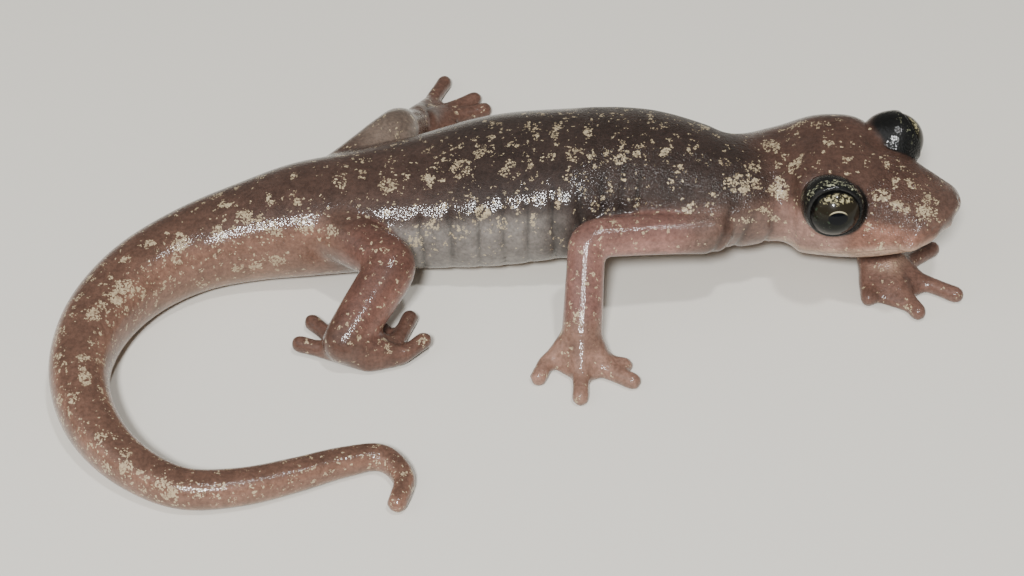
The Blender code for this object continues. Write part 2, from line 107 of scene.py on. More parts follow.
def softStep(low, high, value):
    t = np.clip((np.asarray(value, float) - low) / (high - low), 0.0, 1.0)
    return t * t * (3.0 - 2.0 * t)


def within(value, *edges):
    mask = 1.0
    for start, end in edges:
        mask = mask * softStep(start, end, value)
    return mask


def hump(value, centre, spread):
    return np.exp(-((np.asarray(value, float) - centre) / spread) ** 2)


# Body line from the snout to the tail tip.
def layBodyLine():
    rows = []
    for behind, level, halfWidth, rise, drop in bodyShape["headRows"]:
        spot = headPoint(bodyShape["snoutLength"] - behind, 0.0, 0.0)
        rows.append((spot.x, spot.y, level, halfWidth, rise, drop))
    rows.extend(bodyShape["bodyRows"])
    rows = np.array(rows)
    steps = np.hypot(np.diff(rows[:, 0]), np.diff(rows[:, 1]))
    return np.concatenate(([0.0], np.cumsum(steps))), rows


lineKnots, lineRows = layBodyLine()
lineSlopes = np.gradient(lineRows, lineKnots, axis=0)
lineLength = float(lineKnots[-1])


def bodyRowsAt(at):
    at = np.clip(np.asarray(at, float), 0.0, lineLength)
    k = np.clip(np.searchsorted(lineKnots, at, side="right") - 1, 0, len(lineKnots) - 2)
    span = (lineKnots[k + 1] - lineKnots[k])[:, None]
    t = (at - lineKnots[k])[:, None] / span
    start = (1 + 2 * t) * (1 - t) ** 2 * lineRows[k] + t * (1 - t) ** 2 * span * lineSlopes[k]
    end = t * t * (3 - 2 * t) * lineRows[k + 1] + t * t * (t - 1) * span * lineSlopes[k + 1]
    return start + end


def forwardAt(at):
    place, reach, amount = bodyShape["neckSpread"]
    spread = bodyShape["turnSpread"] + amount * hump(at, place, reach)
    ahead = bodyRowsAt(np.maximum(at - spread, 0.0))
    behind = bodyRowsAt(np.minimum(at + spread, lineLength))
    forward = ahead[:, :2] - behind[:, :2]
    return forward / np.linalg.norm(forward, axis=1)[:, None]


def bluntEnd(distance, length, power):
    part = np.clip(distance / length, 0.0, 1.0)
    return (1.0 - (1.0 - part) ** power) ** (1.0 / power)


def ringEdges(verts):
    return list({edge for vert in verts for edge in vert.link_edges})


def bridgeRings(bm, rings):
    for before, after in zip(rings, rings[1:]):
        bmesh.ops.bridge_loops(bm, edges=before + after)
    bmesh.ops.holes_fill(bm, edges=rings[0] + rings[-1], sides=0)


def buildTrunk():
    s = bodyShape
    bm = bmesh.new()
    behindSnout, beforeTip = s["evenRings"]
    even = np.arange(behindSnout, lineLength - beforeTip, s["ringStep"])
    at = np.concatenate((s["snoutRings"], even, lineLength - np.array(s["tailRings"])))
    rows = bodyRowsAt(at)
    forward = forwardAt(at)
    closing = bluntEnd(at, *s["snoutBlunt"])
    closing = closing * bluntEnd(lineLength - at, lineRows[-1][3], s["tailPower"])
    power = 2.0 / s["sectionPower"]
    rings = []
    for (x, y, level, halfWidth, rise, drop), (fx, fy), close in zip(rows, forward, closing):
        left = Vector((-fy, fx, 0.0))
        verts = bmesh.ops.create_circle(bm, segments=s["ringSides"], radius=1.0)["verts"]
        rings.append(ringEdges(verts))
        for vert in verts:
            aside, up = vert.co.x, vert.co.y
            reach = math.copysign(abs(aside) ** power, aside) * halfWidth * close
            height = math.copysign(abs(up) ** power, up) * (rise if up > 0 else drop) * close
            vert.co = Vector((x, y, 0.0)) + left * reach
            vert.co.z = max(level + height, 0.0)
    bridgeRings(bm, rings)
    return bm


# Legs: way points in millimetres, from inside the body to the toe tips on the floor.
# A toe is a list of points past the palm: x, y and level.
legShapes = {
    "rightArm": {
        "root": (12.4, -0.9, 5.6), "joint": (4.65, -2.15, 6.1),
        "wrist": (4.33, -6.3, 1.9), "palm": (4.3, -7.2, 0.6),
        "toes": (((2.2, -7.2, 0.5), (1.45, -9.2, 0.35)), ((4.25, -9.0, 0.45), (4.16, -11.0, 0.4)),
                 ((6.0, -8.2, 0.45), (7.9, -9.3, 0.4)), ((6.0, -7.4, 0.4), (7.5, -7.7, 0.35))),
        "upper": (1.45, 1.32, 1.27, 1.25), "lower": (1.2, 1.2, 1.25, 1.28), "bend": 0.12, "wristRadius": 1.15,
        "webReach": (0.87, 0.87, 0.87),
    },
    "leftArm": {
        "root": (13.3, 5.8, 4.2), "joint": (18.6, 8.3, 1.9),
        "wrist": (23.4, 2.2, 1.5), "palm": (24.2, 0.9, 0.6),
        "toes": (((22.8, 0.5, 0.5), (22.8, -2.0, 0.4)), ((25.0, -1.0, 0.5), (26.0, -3.3, 0.45)),
                 ((26.5, 0.0, 0.5), (28.9, -1.4, 0.4)), ((25.9, 2.0, 0.5), (27.9, 3.7, 0.4))),
        "upper": (1.25, 1.2, 1.15, 1.15), "lower": (1.15, 1.12, 1.1, 1.15), "bend": 0.2, "wristRadius": 1.25,
        "webReach": (1.6, 1.1, 0.87),
    },
    "rightLeg": {
        "root": (-11.0, 0.6, 4.2), "joint": (-7.3, -2.8, 4.6),
        "wrist": (-10.3, -6.8, 1.7), "palm": (-8.9, -7.6, 0.6),
        "toes": (((-11.6, -6.5, 0.6), (-13.8, -5.7, 0.6)), ((-11.3, -5.2, 0.5), (-13.0, -3.4, 0.5)),
                 ((-8.5, -5.6, 0.5), (-8.0, -3.9, 0.4)), ((-7.2, -5.8, 0.6), (-6.3, -2.9, 0.5)),
                 ((-6.7, -7.1, 0.8), (-5.1, -5.6, 1.05))),
        "upper": (1.8, 1.7, 1.6, 1.6), "lower": (1.6, 1.6, 1.55, 1.45), "bend": 0.16, "wristRadius": 1.3,
        "webReach": (0.87, 0.87, 0.87, 0.95),
    },
    "leftLeg": {
        "root": (-11.2, 6.0, 4.4), "joint": (-7.6, 9.9, 5.3),
        "wrist": (-6.9, 14.9, 1.6), "palm": (-6.1, 16.7, 0.6),
        "toes": (((-5.6, 19.3, 0.5), (-4.6, 21.9, 0.4)), ((-4.3, 18.2, 0.5), (-2.2, 19.8, 0.4)),
                 ((-3.9, 17.4, 0.5), (-1.4, 18.4, 0.4)), ((-4.3, 16.0, 0.5), (-2.4, 15.4, 0.4)),
                 ((-5.2, 15.0, 0.5), (-4.2, 13.6, 0.4))),
        "upper": (1.6, 1.5, 1.45, 1.4), "lower": (1.4, 1.33, 1.2, 1.1), "bend": 0.2, "wristRadius": 1.1,
        "webReach": (0.95, 0.87, 0.87, 0.87),
    },
}

# What all four legs share.
legSettings = {
    "sides": 24,
    "straightRings": 10,
    "bendRings": 8,
    "palmRadius": 0.6,
    "webRoot": 0.62,            # radius of a web at the palm
    "webRadius": 0.36,          # half thickness of a web at its edge
    "toeRadius": 0.56,
    "toeSides": 16,
    "toeRoot": (0.9, 0.95),     # place on the way from the palm and share of the radius where a toe leaves it
    # stations from the palm to a toe's root, round the root, and on to the tip
    "toePath": ((0.0, 0.4, 0.8), (0.95, 0.15), (0.25, 0.6, 1.0)),
    "toeSwell": (1.1, 1.08, 1.04, 1.0, 0.98, 0.96, 1.03),   # thickness from palm to tip, in toe radii
    "pawSpan": (6.6, 5.9),      # distance from the palm where the paw ends
    "pawTop": (2.1, 1.3),       # level where it ends
    "foldEdge": (0.5, 0.1),     # distance from a leg's surface where the body's folds end
    "foldStart": (1.5, 3.0),    # distance from the leg's root where they begin to end
}


def tubeAlong(bm, points, radii, sides):
    points = [Vector(p) for p in points]
    stations = []
    first = (points[0] - points[1]).normalized()
    last = (points[-1] - points[-2]).normalized()
    dome = [math.radians(angle) for angle in (15, 40, 65)]      # both ends are rounded
    for a in dome:
        stations.append((points[0] + first * radii[0] * math.cos(a), radii[0] * math.sin(a)))
    stations += list(zip(points, radii))
    for a in reversed(dome):
        stations.append((points[-1] + last * radii[-1] * math.cos(a), radii[-1] * math.sin(a)))
    rings = []
    side = first.orthogonal()
    for k, (centre, radius) in enumerate(stations):
        before = stations[max(k - 1, 0)][0]
        after = stations[min(k + 1, len(stations) - 1)][0]
        axis = (after - before).normalized()
        side = (side - axis * side.dot(axis)).normalized()
        turn = Matrix((side, axis.cross(side), axis)).transposed().to_4x4()
        place = Matrix.Translation(centre) @ turn
        made = bmesh.ops.create_circle(bm, segments=sides, radius=radius, matrix=place)
        rings.append(ringEdges(made["verts"]))
    bridgeRings(bm, rings)


def bendPath(shape):
    root, joint, wrist = Vector(shape["root"]), Vector(shape["joint"]), Vector(shape["wrist"])
    cut = shape["bend"]
    points = []
    radii = []
    enter = joint.lerp(root, cut)
    leave = joint.lerp(wrist, cut)
    shares = np.linspace(0.0, 1.0, len(shape["upper"]))
    straight = np.linspace(0.0, 1.0, legSettings["straightRings"])
    for t in straight:
        points.append(root.lerp(enter, t))
        radii.append(float(np.interp(t * (1 - cut), shares, shape["upper"])))
    for t in np.linspace(0.0, 1.0, legSettings["bendRings"])[1:-1]:
        points.append(enter.lerp(joint, t).lerp(joint.lerp(leave, t), t))
        radii.append(float(shape["upper"][-1] * (1 - t) + shape["lower"][0] * t))
    for t in straight:
        points.append(leave.lerp(wrist, t))
        radii.append(float(np.interp(cut + t * (1 - cut), shares, shape["lower"])))
    return points, radii


def hullOf(bm, balls):
    spare = bmesh.new()
    for centre, radius in balls:
        bmesh.ops.create_icosphere(spare, subdivisions=2, radius=radius, matrix=Matrix.Translation(centre))
    bmesh.ops.delete(spare, geom=list(spare.edges), context="EDGES_FACES")
    hull = bmesh.ops.convex_hull(spare, input=spare.verts)
    unused = set(hull["geom_interior"]) | set(hull["geom_unused"])
    loose = [vert for vert in spare.verts if vert in unused or not vert.link_faces]
    bmesh.ops.delete(spare, geom=loose, context="VERTS")
    made = bpy.data.meshes.new("hull")
    spare.to_mesh(made)
    spare.free()
    bm.from_mesh(made)
    bpy.data.meshes.remove(made)


def toeSpot(palm, toe, share):
    return palm.lerp(toe[0], share) if share < 1.0 else toe[0].lerp(toe[1], share - 1.0)


def buildLeg(shape):
    s = legSettings
    bm = bmesh.new()
    points, radii = bendPath(shape)
    tubeAlong(bm, points, radii, s["sides"])
    palm = Vector(shape["palm"])
    wristBall = (Vector(shape["wrist"]), shape["wristRadius"])
    toes = [[Vector(p) for p in toe] for toe in shape["toes"]]
    # Sloping webs: one flat wedge from the wrist to each pair of neighbouring toes.
    for before, after, reach in zip(toes, toes[1:], shape["webReach"]):
        edge = [toeSpot(palm, toe, reach) for toe in (before, after)]
        low = [(Vector((p.x, p.y, s["webRadius"])), s["webRadius"]) for p in edge]
        hullOf(bm, [wristBall, (palm, s["webRoot"]), *low])
    leaving, share = s["toeRoot"]
    toRoot, (nearRoot, pastRoot), toTip = s["toePath"]
    for root, tip in toes:
        hullOf(bm, [wristBall, (palm, s["palmRadius"]), (palm.lerp(root, leaving), s["toeRadius"] * share)])
        end = tip + (root - tip).normalized() * s["toeRadius"]
        path = [palm.lerp(root, t) for t in toRoot]
        path += [palm.lerp(root, nearRoot).lerp(root.lerp(end, pastRoot), 0.5)]
        path += [root.lerp(end, t) for t in toTip]
        tubeAlong(bm, path, [s["toeRadius"] * k for k in s["toeSwell"]], s["toeSides"])
    return bm


eyeShape = {
    "radius": 1.78,
    "side": 4.15,
    "levels": {1: 7.85, -1: 8.05},   # the head rolls a little to its left
    "lidForward": 34.0,      # degrees the lids' opening turns forward of straight sideways
    "lidUp": 18.0,
    "gazeForward": 37.5,
    "gazeUp": 13.5,
    "moundRadius": 1.9,
    "lidRadius": 1.87,
    "lidFade": ((2.8, 2.3), (55.0, 32.0)),     # distance from the eye's centre, degrees past the opening
    "upperLid": ((-30.0, 50.0), (200.0, 120.0)),
    "upperRoll": {1: 0.02, -1: 0.09},          # how much thicker the rim of the upper lid is
    "rollPlace": (8.0, 8.0),                   # degrees past the opening, and spread
    "openingAngle": 61.0,
    "openingDroop": 4.0,
    "socketRadius": 1.45,
    "socketEdge": (1.0, -5.0),
    "cornerTurn": -117.0,    # the small corner of the lids, low at the rear
    "cornerCut": 8.0,
    "cornerWidth": 13.0,
}


def outwardFrom(side, forwardTurn, upTurn):
    turn = headYaw + side * (math.pi / 2 - math.radians(forwardTurn))
    up = math.radians(upTurn)
    return Vector((math.cos(turn) * math.cos(up), math.sin(turn) * math.cos(up), math.sin(up)))


def eyeCentre(side):
    return headPoint(0.0, side * eyeShape["side"], eyeShape["levels"][side])


def buildHeadForms():
    bm = bmesh.new()
    for side in (1, -1):
        bmesh.ops.create_uvsphere(bm, u_segments=40, v_segments=24, radius=eyeShape["moundRadius"],
                                  matrix=Matrix.Translation(eyeCentre(side)))
    return bm


skinSettings = {
    "voxel": 0.22,
    "smoothRounds": 6,
    "fineRounds": 3,
    "mouthAside": 5.4,
    # areas of the finer mesh
    "fineMouth": (0.7, -3.2, 3.0),   # reach from the mouth line, rear end, lowest level
    "fineSnout": (2.5, 4.6, 4.5),    # rear end, reach aside, lowest level
    "fineEye": 2.5,                  # distance from the eye's centre
    # areas of the finest mesh
    "rimMouth": (0.3, -2.8, 3.2),
    "rimEye": 2.35,
    "rimBand": (-16.0, 14.0),        # degrees either side of the opening's edge
}


def joinForms(forms):
    joined = bmesh.new()
    for form in forms:
        bmesh.ops.recalc_face_normals(form, faces=form.faces)
        part = bpy.data.meshes.new("form")
        form.to_mesh(part)
        form.free()
        joined.from_mesh(part)
        bpy.data.meshes.remove(part)
    mesh = bpy.data.meshes.new("forms")
    joined.to_mesh(mesh)
    joined.free()
    return mesh


def fuseSkin(mesh):
    holder = bpy.data.objects.new("forms", mesh)
    bpy.context.scene.collection.objects.link(holder)
    remesh = holder.modifiers.new("fuse", "REMESH")
    remesh.mode = "VOXEL"
    remesh.voxel_size = skinSettings["voxel"]
    remesh.adaptivity = 0.0
    smooth = holder.modifiers.new("smooth", "SMOOTH")
    smooth.factor = 0.5
    smooth.iterations = skinSettings["smoothRounds"]
    evaluated = holder.evaluated_get(bpy.context.evaluated_depsgraph_get())
    fused = bpy.data.meshes.new_from_object(evaluated)
    bpy.data.objects.remove(holder)
    bpy.data.meshes.remove(mesh)
    return fused


# How a point's place along the body is found: step along its line, points at a time, softness of the mix.
placeFinder = {"step": 0.15, "batch": 8000, "softness": 1.2}


# Where a point lies on the animal: along and round the body, on the head, on a leg, round an eye.
def bodyPlace(points):
    s = placeFinder
    at = np.arange(0.0, lineLength, s["step"])
    rows = bodyRowsAt(at)
    along = np.empty(len(points))
    for start in range(0, len(points), s["batch"]):
        part = points[start:start + s["batch"]]
        gap = (part[:, 0, None] - rows[None, :, 0]) ** 2 + (part[:, 1, None] - rows[None, :, 1]) ** 2
        weight = np.exp((gap.min(axis=1)[:, None] - gap) / s["softness"])
        along[start:start + s["batch"]] = weight @ at / weight.sum(axis=1)
    row = bodyRowsAt(along)
    ahead = forwardAt(along)
    offset = points[:, :2] - row[:, :2]
    across = offset[:, 1] * ahead[:, 0] - offset[:, 0] * ahead[:, 1]
    rise = points[:, 2] - row[:, 2]
    height = rise / np.where(rise > 0, row[:, 4], row[:, 5])
    return along, across / row[:, 3], height


def headPlace(points):
    offset = points - np.array(eyesMiddle)
    return offset @ np.array(headAhead), offset @ np.array(headLeft), points[:, 2]


def eyePlace(points, side):
    offset = points - np.array(eyeCentre(side))
    reach = np.linalg.norm(offset, axis=1)
    axis = np.array(outwardFrom(side, eyeShape["lidForward"], eyeShape["lidUp"]))
    upward = np.array((0.0, 0.0, 1.0)) - axis * axis[2]
    upward = upward / np.linalg.norm(upward)
    ahead = np.cross(upward, axis) * -side
    direction = offset / reach[:, None]
    angle = np.degrees(np.arccos(np.clip(direction @ axis, -1.0, 1.0)))
    turn = np.degrees(np.arctan2(direction @ upward, direction @ ahead))
    corner = (turn - eyeShape["cornerTurn"] + 180.0) % 360.0 - 180.0
    opening = eyeShape["openingAngle"] - eyeShape["openingDroop"] * np.sin(np.radians(turn))
    opening = opening + eyeShape["cornerCut"] * hump(corner, 0.0, eyeShape["cornerWidth"])
    return offset, reach, angle - opening, turn


def legPlace(points, name):
    path, radii = bendPath(legShapes[name])
    path = np.array([tuple(p) for p in path])
    lengths = np.concatenate(([0.0], np.cumsum(np.linalg.norm(np.diff(path, axis=0), axis=1))))
    best = np.full(len(points), np.inf)
    along = np.zeros(len(points))
    for k in range(len(path) - 1):
        step = path[k + 1] - path[k]
        t = np.clip(((points - path[k]) @ step) / (step @ step), 0.0, 1.0)
        gap = np.linalg.norm(points - path[k] - t[:, None] * step, axis=1)
        gap = gap - (radii[k] * (1 - t) + radii[k + 1] * t)
        closer = gap < best
        best = np.where(closer, gap, best)
        along = np.where(closer, lengths[k] + t * (lengths[k + 1] - lengths[k]), along)
    palm = np.array(legShapes[name]["palm"])
    fromPalm = np.linalg.norm(points[:, :2] - palm[:2], axis=1)
    paw = softStep(*legSettings["pawSpan"], fromPalm) * softStep(*legSettings["pawTop"], points[:, 2])
    return best, along, paw, float(lengths[-1])


mouthShape = {
    "rearLevel": 3.75, "frontLevel": 6.3, "rear": -2.2, "front": 6.6, "rearFade": 0.6,
    "depth": 0.2, "width": 0.11,
    "lip": 0.07, "lipPlace": (0.28, 0.24),                   # distance above the mouth line, and spread
    "tuck": 0.1, "tuckSpan": ((0.0, -0.12), (-1.1, -0.3)),   # the jaw is drawn in below the line
    "jawEdge": (0.75, 0.15),                                 # the jaw's tint fades out above the line
}


def mouthLevel(forward):
    s = mouthShape
    return s["rearLevel"] + (s["frontLevel"] - s["rearLevel"]) * softStep(s["rear"], s["front"], forward)


def refineWhere(bm, wanted):
    edges = {edge for face, keep in zip(bm.faces, wanted) if keep for edge in face.edges}
    bmesh.ops.subdivide_edges(bm, edges=list(edges), cuts=1, use_grid_fill=True)


def smoothWhere(bm, wanted, rounds):
    verts = [vert for vert, keep in zip(bm.verts, wanted) if keep]
    for _ in range(rounds):
        bmesh.ops.smooth_vert(bm, verts=verts, factor=0.5, use_axis_x=True, use_axis_y=True, use_axis_z=True)


def faceCentres(bm):
    return np.array([face.calc_center_median()[:] for face in bm.faces])


def vertPlaces(bm):
    return np.array([vert.co[:] for vert in bm.verts])


def nearMouth(points, reach, rear, lowest):
    forward, left, level = headPlace(points)
    near = (np.abs(level - mouthLevel(forward)) < reach) & (np.abs(left) < skinSettings["mouthAside"])
    return near & (forward > rear) & (level > lowest)


def faceArea(points):
    s = skinSettings
    forward, left, level = headPlace(points)
    rear, aside, lowest = s["fineSnout"]
    wanted = (forward > rear) & (np.abs(left) < aside) & (level > lowest)
    wanted |= nearMouth(points, *s["fineMouth"])
    for side in (1, -1):
        wanted |= np.linalg.norm(points - np.array(eyeCentre(side)), axis=1) < s["fineEye"]
    return wanted


def rimArea(points):
    s = skinSettings
    wanted = nearMouth(points, *s["rimMouth"])
    low, high = s["rimBand"]
    for side in (1, -1):
        _, reach, past, _ = eyePlace(points, side)
        wanted |= (reach < s["rimEye"]) & (past > low) & (past < high)
    return wanted


def refineSkin(mesh):
    bm = bmesh.new()
    bm.from_mesh(mesh)
    bm.normal_update()
    refineWhere(bm, faceArea(faceCentres(bm)))
    smoothWhere(bm, faceArea(vertPlaces(bm)), skinSettings["fineRounds"])
    refineWhere(bm, rimArea(faceCentres(bm)))
    smoothWhere(bm, rimArea(vertPlaces(bm)), skinSettings["fineRounds"])
    bm.to_mesh(mesh)
    bm.free()


# Lids: inside the opening the skin drops behind the eyeball, round it the lids swell to a rim.
def shapeLids(points):
    s = eyeShape
    for side in (1, -1):
        offset, reach, past, turn = eyePlace(points, side)
        inside = softStep(*s["socketEdge"], past)
        roll = s["upperRoll"][side] * within(turn, *s["upperLid"]) * hump(past, *s["rollPlace"])
        shell = np.maximum(reach, s["lidRadius"]) + roll
        target = shell * (1 - inside) + s["socketRadius"] * inside
        near = softStep(*s["lidFade"][0], reach) * softStep(*s["lidFade"][1], past)
        points += offset * ((target / reach - 1.0) * near)[:, None]


# Swellings and hollows of the head: forward, side, level, radius, height, all in millimetres.
headDabs = (
    (-2.5, 3.4, 8.5, 1.7, 0.45),
    (-5.2, 1.9, 9.1, 1.7, 0.25),
    (3.3, 3.5, 6.9, 1.1, -0.16),
    (4.9, 3.1, 6.3, 0.55, 0.22),
    (5.9, 1.5, 7.15, 0.6, 0.08),
    (-2.6, 5.0, 6.6, 1.6, 0.12),
    (2.2, 2.2, 8.5, 0.7, 0.1),
    (3.6, 1.9, 8.2, 0.7, 0.1),
    (5.9, 1.75, 7.35, 0.2, -0.22),
    (6.3, 1.0, 6.0, 0.9, -0.35),
)

# Folds and costal grooves: place along the body, lean, low and high reach round the side, width, depth.
foldShape = {
    "grooveCount": 11, "grooveFirst": 20.35, "grooveSpacing": (1.48, 0.026),   # steps widen towards the tail
    "grooveWidth": (0.14, 0.04), "ribSwell": (0.06, 0.03),   # all along, more in front
    "frontEdge": (27.0, 24.5), "ribWidth": 0.5,
    "grooveLean": 0.25, "grooveFoot": -0.8,
    "grooveTop": (0.78, 0.05, 5),    # height on the side, less for each groove further from this one
    "grooveRise": 0.2, "rightSide": (0.2, -0.3),             # the grooves reach higher on the right side
    "grooveDepth": 0.2, "grooveFade": 0.6, "fadeSpan": (0.4, 0.65),   # and are shallower up there
    # creaseShade: how far the grooves and folds are darkened with painted shade
    "creaseShade": 0.5, "floorFade": (0.1, 0.5), "endFade": 0.3,
    "neck": ((14.1, 0.05, -1.1, 0.3, 0.13, 0.16), (14.95, -0.5, -1.1, 0.45, 0.13, 0.13),
             (16.0, -0.9, -1.1, 0.75, 0.2, 0.12)),
}


def grooveMask(along, height, place, lean, low, high, width):
    distance = along - (place + lean * height)
    fade = foldShape["endFade"]
    foot = softStep(low, low + fade, height)
    top = softStep(high, high - fade, height)
    return hump(distance, 0.0, width) * foot * top


def shapeBody(points, normals, along, height, limb):
    s = foldShape
    push = np.zeros(len(points))
    paintedCreaseShade = np.zeros(len(points))
    rise = s["grooveRise"] * softStep(*s["rightSide"], normals[:, 1])
    depth = s["grooveDepth"] * (1 - s["grooveFade"] * softStep(*s["fadeSpan"], height))
    step, widening = s["grooveSpacing"]
    top, less, highest = s["grooveTop"]
    lean, foot = s["grooveLean"], s["grooveFoot"]
    for k in range(s["grooveCount"]):
        place = s["grooveFirst"] + step * k + widening * k * k
        front = softStep(*s["frontEdge"], place)
        width, swell = (base + more * front for base, more in (s["grooveWidth"], s["ribSwell"]))
        reach = top - less * abs(k - highest) * (1 - front)
        groove = grooveMask(along, height, place, lean, foot, reach + rise, width)
        push -= depth * groove
        paintedCreaseShade = np.maximum(paintedCreaseShade, groove)
        push += swell * grooveMask(along, height, place + 0.5 * step, lean, foot, reach, s["ribWidth"])
    for place, lean, low, high, width, depth in s["neck"]:
        fold = grooveMask(along, height, place, lean, low, high, width)
        push -= depth * fold
        paintedCreaseShade = np.maximum(paintedCreaseShade, fold)
    points += normals * (push * (1 - limb) * softStep(*s["floorFade"], points[:, 2]))[:, None]
    # the grooves and folds are returned as painted shade for the skin's tint
    return paintedCreaseShade * (1 - limb) * s["creaseShade"]


def shapeHead(points, normals, along):
    s = mouthShape
    forward, left, level = headPlace(points)
    push = np.zeros(len(points))
    for f, l, z, radius, height in headDabs:
        distance = np.sqrt((forward - f) ** 2 + (np.abs(left) - l) ** 2 + (level - z) ** 2)
        push += height * hump(distance, 0.0, radius)
    above = level - mouthLevel(forward)
    reach = softStep(s["rear"] - s["rearFade"], s["rear"] + s["rearFade"], forward)
    push -= s["depth"] * reach * hump(above, 0.0, s["width"])
    push += s["lip"] * reach * hump(above, *s["lipPlace"])
    push -= s["tuck"] * reach * within(above, *s["tuckSpan"])
    points += normals * (push * softStep(*bodyShape["headEnd"], along))[:, None]


def meshPoints(mesh):
    points = np.empty(len(mesh.vertices) * 3)
    mesh.vertices.foreach_get("co", points)
    normals = np.empty(len(points))
    mesh.vertices.foreach_get("normal", normals)
    return points.reshape(-1, 3), normals.reshape(-1, 3)


def putPoints(mesh, points):
    mesh.vertices.foreach_set("co", points.astype(np.float32).ravel())
    mesh.update()


# Skin tints by region, as red, green and blue of 255 on a screen.
skinTints = {
    # flankGreyAndSheen: the flank's own grey together with a painted bluish sheen of the wet skin
    "back": (50, 40, 36), "rear": (70, 53, 46), "flankGreyAndSheen": (114, 108, 103), "belly": (142, 122, 106),
    "tailTop": (90, 66, 55), "tailSide": (116, 86, 72), "tailUnder": (128, 101, 83),
    "headTop": (74, 54, 46), "cheek": (138, 106, 95), "jaw": (160, 132, 114), "lore": (126, 90, 76),
    "snout": (88, 67, 58), "neckSide": (98, 77, 68), "shoulder": (104, 78, 69),
    "arm": (128, 93, 84), "leg": (106, 74, 64), "farLeg": (114, 99, 88), "hand": (130, 100, 86),
    # shadowedHand and foot are the paw's tint darkened with painted shade, for the left hand and the feet
    "shadowedHand": (102, 76, 66), "foot": (92, 67, 57), "lid": (8, 9, 9), "lidRimHighlight": (56, 60, 57),
# lidRimHighlight is a painted highlight: the pale line on the lower lid's rim
}

# Tints of the body in the order they are laid, with soft edges along it, then up its side. An edge fades in
# from its first value to its second, and the side runs from -1 at the belly to 1 at the crest.
trunkSpan = ((15.0, 19.0), (43.0, 40.0))
tailSpan = ((40.0, 46.0),)
headSpan = ((15.5, 12.0),)
bodyTints = (
    ("rear", ((30.0, 41.0),), ()),
    # the grey flank: the skin's grey with painted sheen laid in
    ("flankGreyAndSheen", trunkSpan + ((24.5, 29.0),), ((0.6, 0.3),)),
    ("shoulder", ((14.0, 17.0), (21.5, 18.5)), ((0.6, 0.0),)),
    ("neckSide", ((12.5, 14.5), (18.5, 16.0)), ((0.8, 0.1),)),
    ("belly", trunkSpan, ((-0.75, -0.95),)),
    ("tailTop", ((44.0, 56.0),), ()),
)
tailSide = {
    "span": ((38.5, 43.0),),
    "edge": ((0.95, 0.1), (0.7, 0.25)),    # where it fades in, and how much lower at the tail's root
    "root": (54.0, 48.0), "under": (0.1, -0.7),
}

# The same for the head, with edges forward along it and up it.
headTints = (
    ("headTop", (), ()),
    ("snout", ((2.5, 5.0),), ((6.8, 7.4),)),
    ("cheek", ((-7.5, -5.5), (2.5, 1.0)), ((7.6, 6.6),)),
    ("lore", ((0.2, 1.8), (6.2, 5.0)), ((7.6, 6.9),)),
)
# Nostrils: the near-black lid tint is painted into these pits as painted shade
nostrils = {"place": (5.95, 1.75, 7.35), "radius": 0.17, "strength": 0.8}

limbPaint = {
    "edge": ((0.32, 0.7), (0.02, 0.5)),    # distance from the leg where its tint ends, and more at the paw
    "pawStart": (3.0, 1.0), "palmStart": 1.6,         # distances before the end of the leg
    "start": (0.6, 3.4),                   # distance from the root where the tint comes in
    "shade": (1.3, 0.58), "shadeSpan": (-0.2, 0.9),   # brightness below, and how much less above
}
# the left hand and both feet take the darker paw tints, which are painted shade
limbTints = {"rightArm": ("arm", "hand"), "leftArm": ("arm", "shadowedHand"),
             "rightLeg": ("leg", "foot"), "leftLeg": ("farLeg", "foot")}


def tone(colour):
    c = np.array(colour) / 255.0
    return np.where(c <= 0.04045, c / 12.92, ((c + 0.055) / 1.055) ** 2.4)


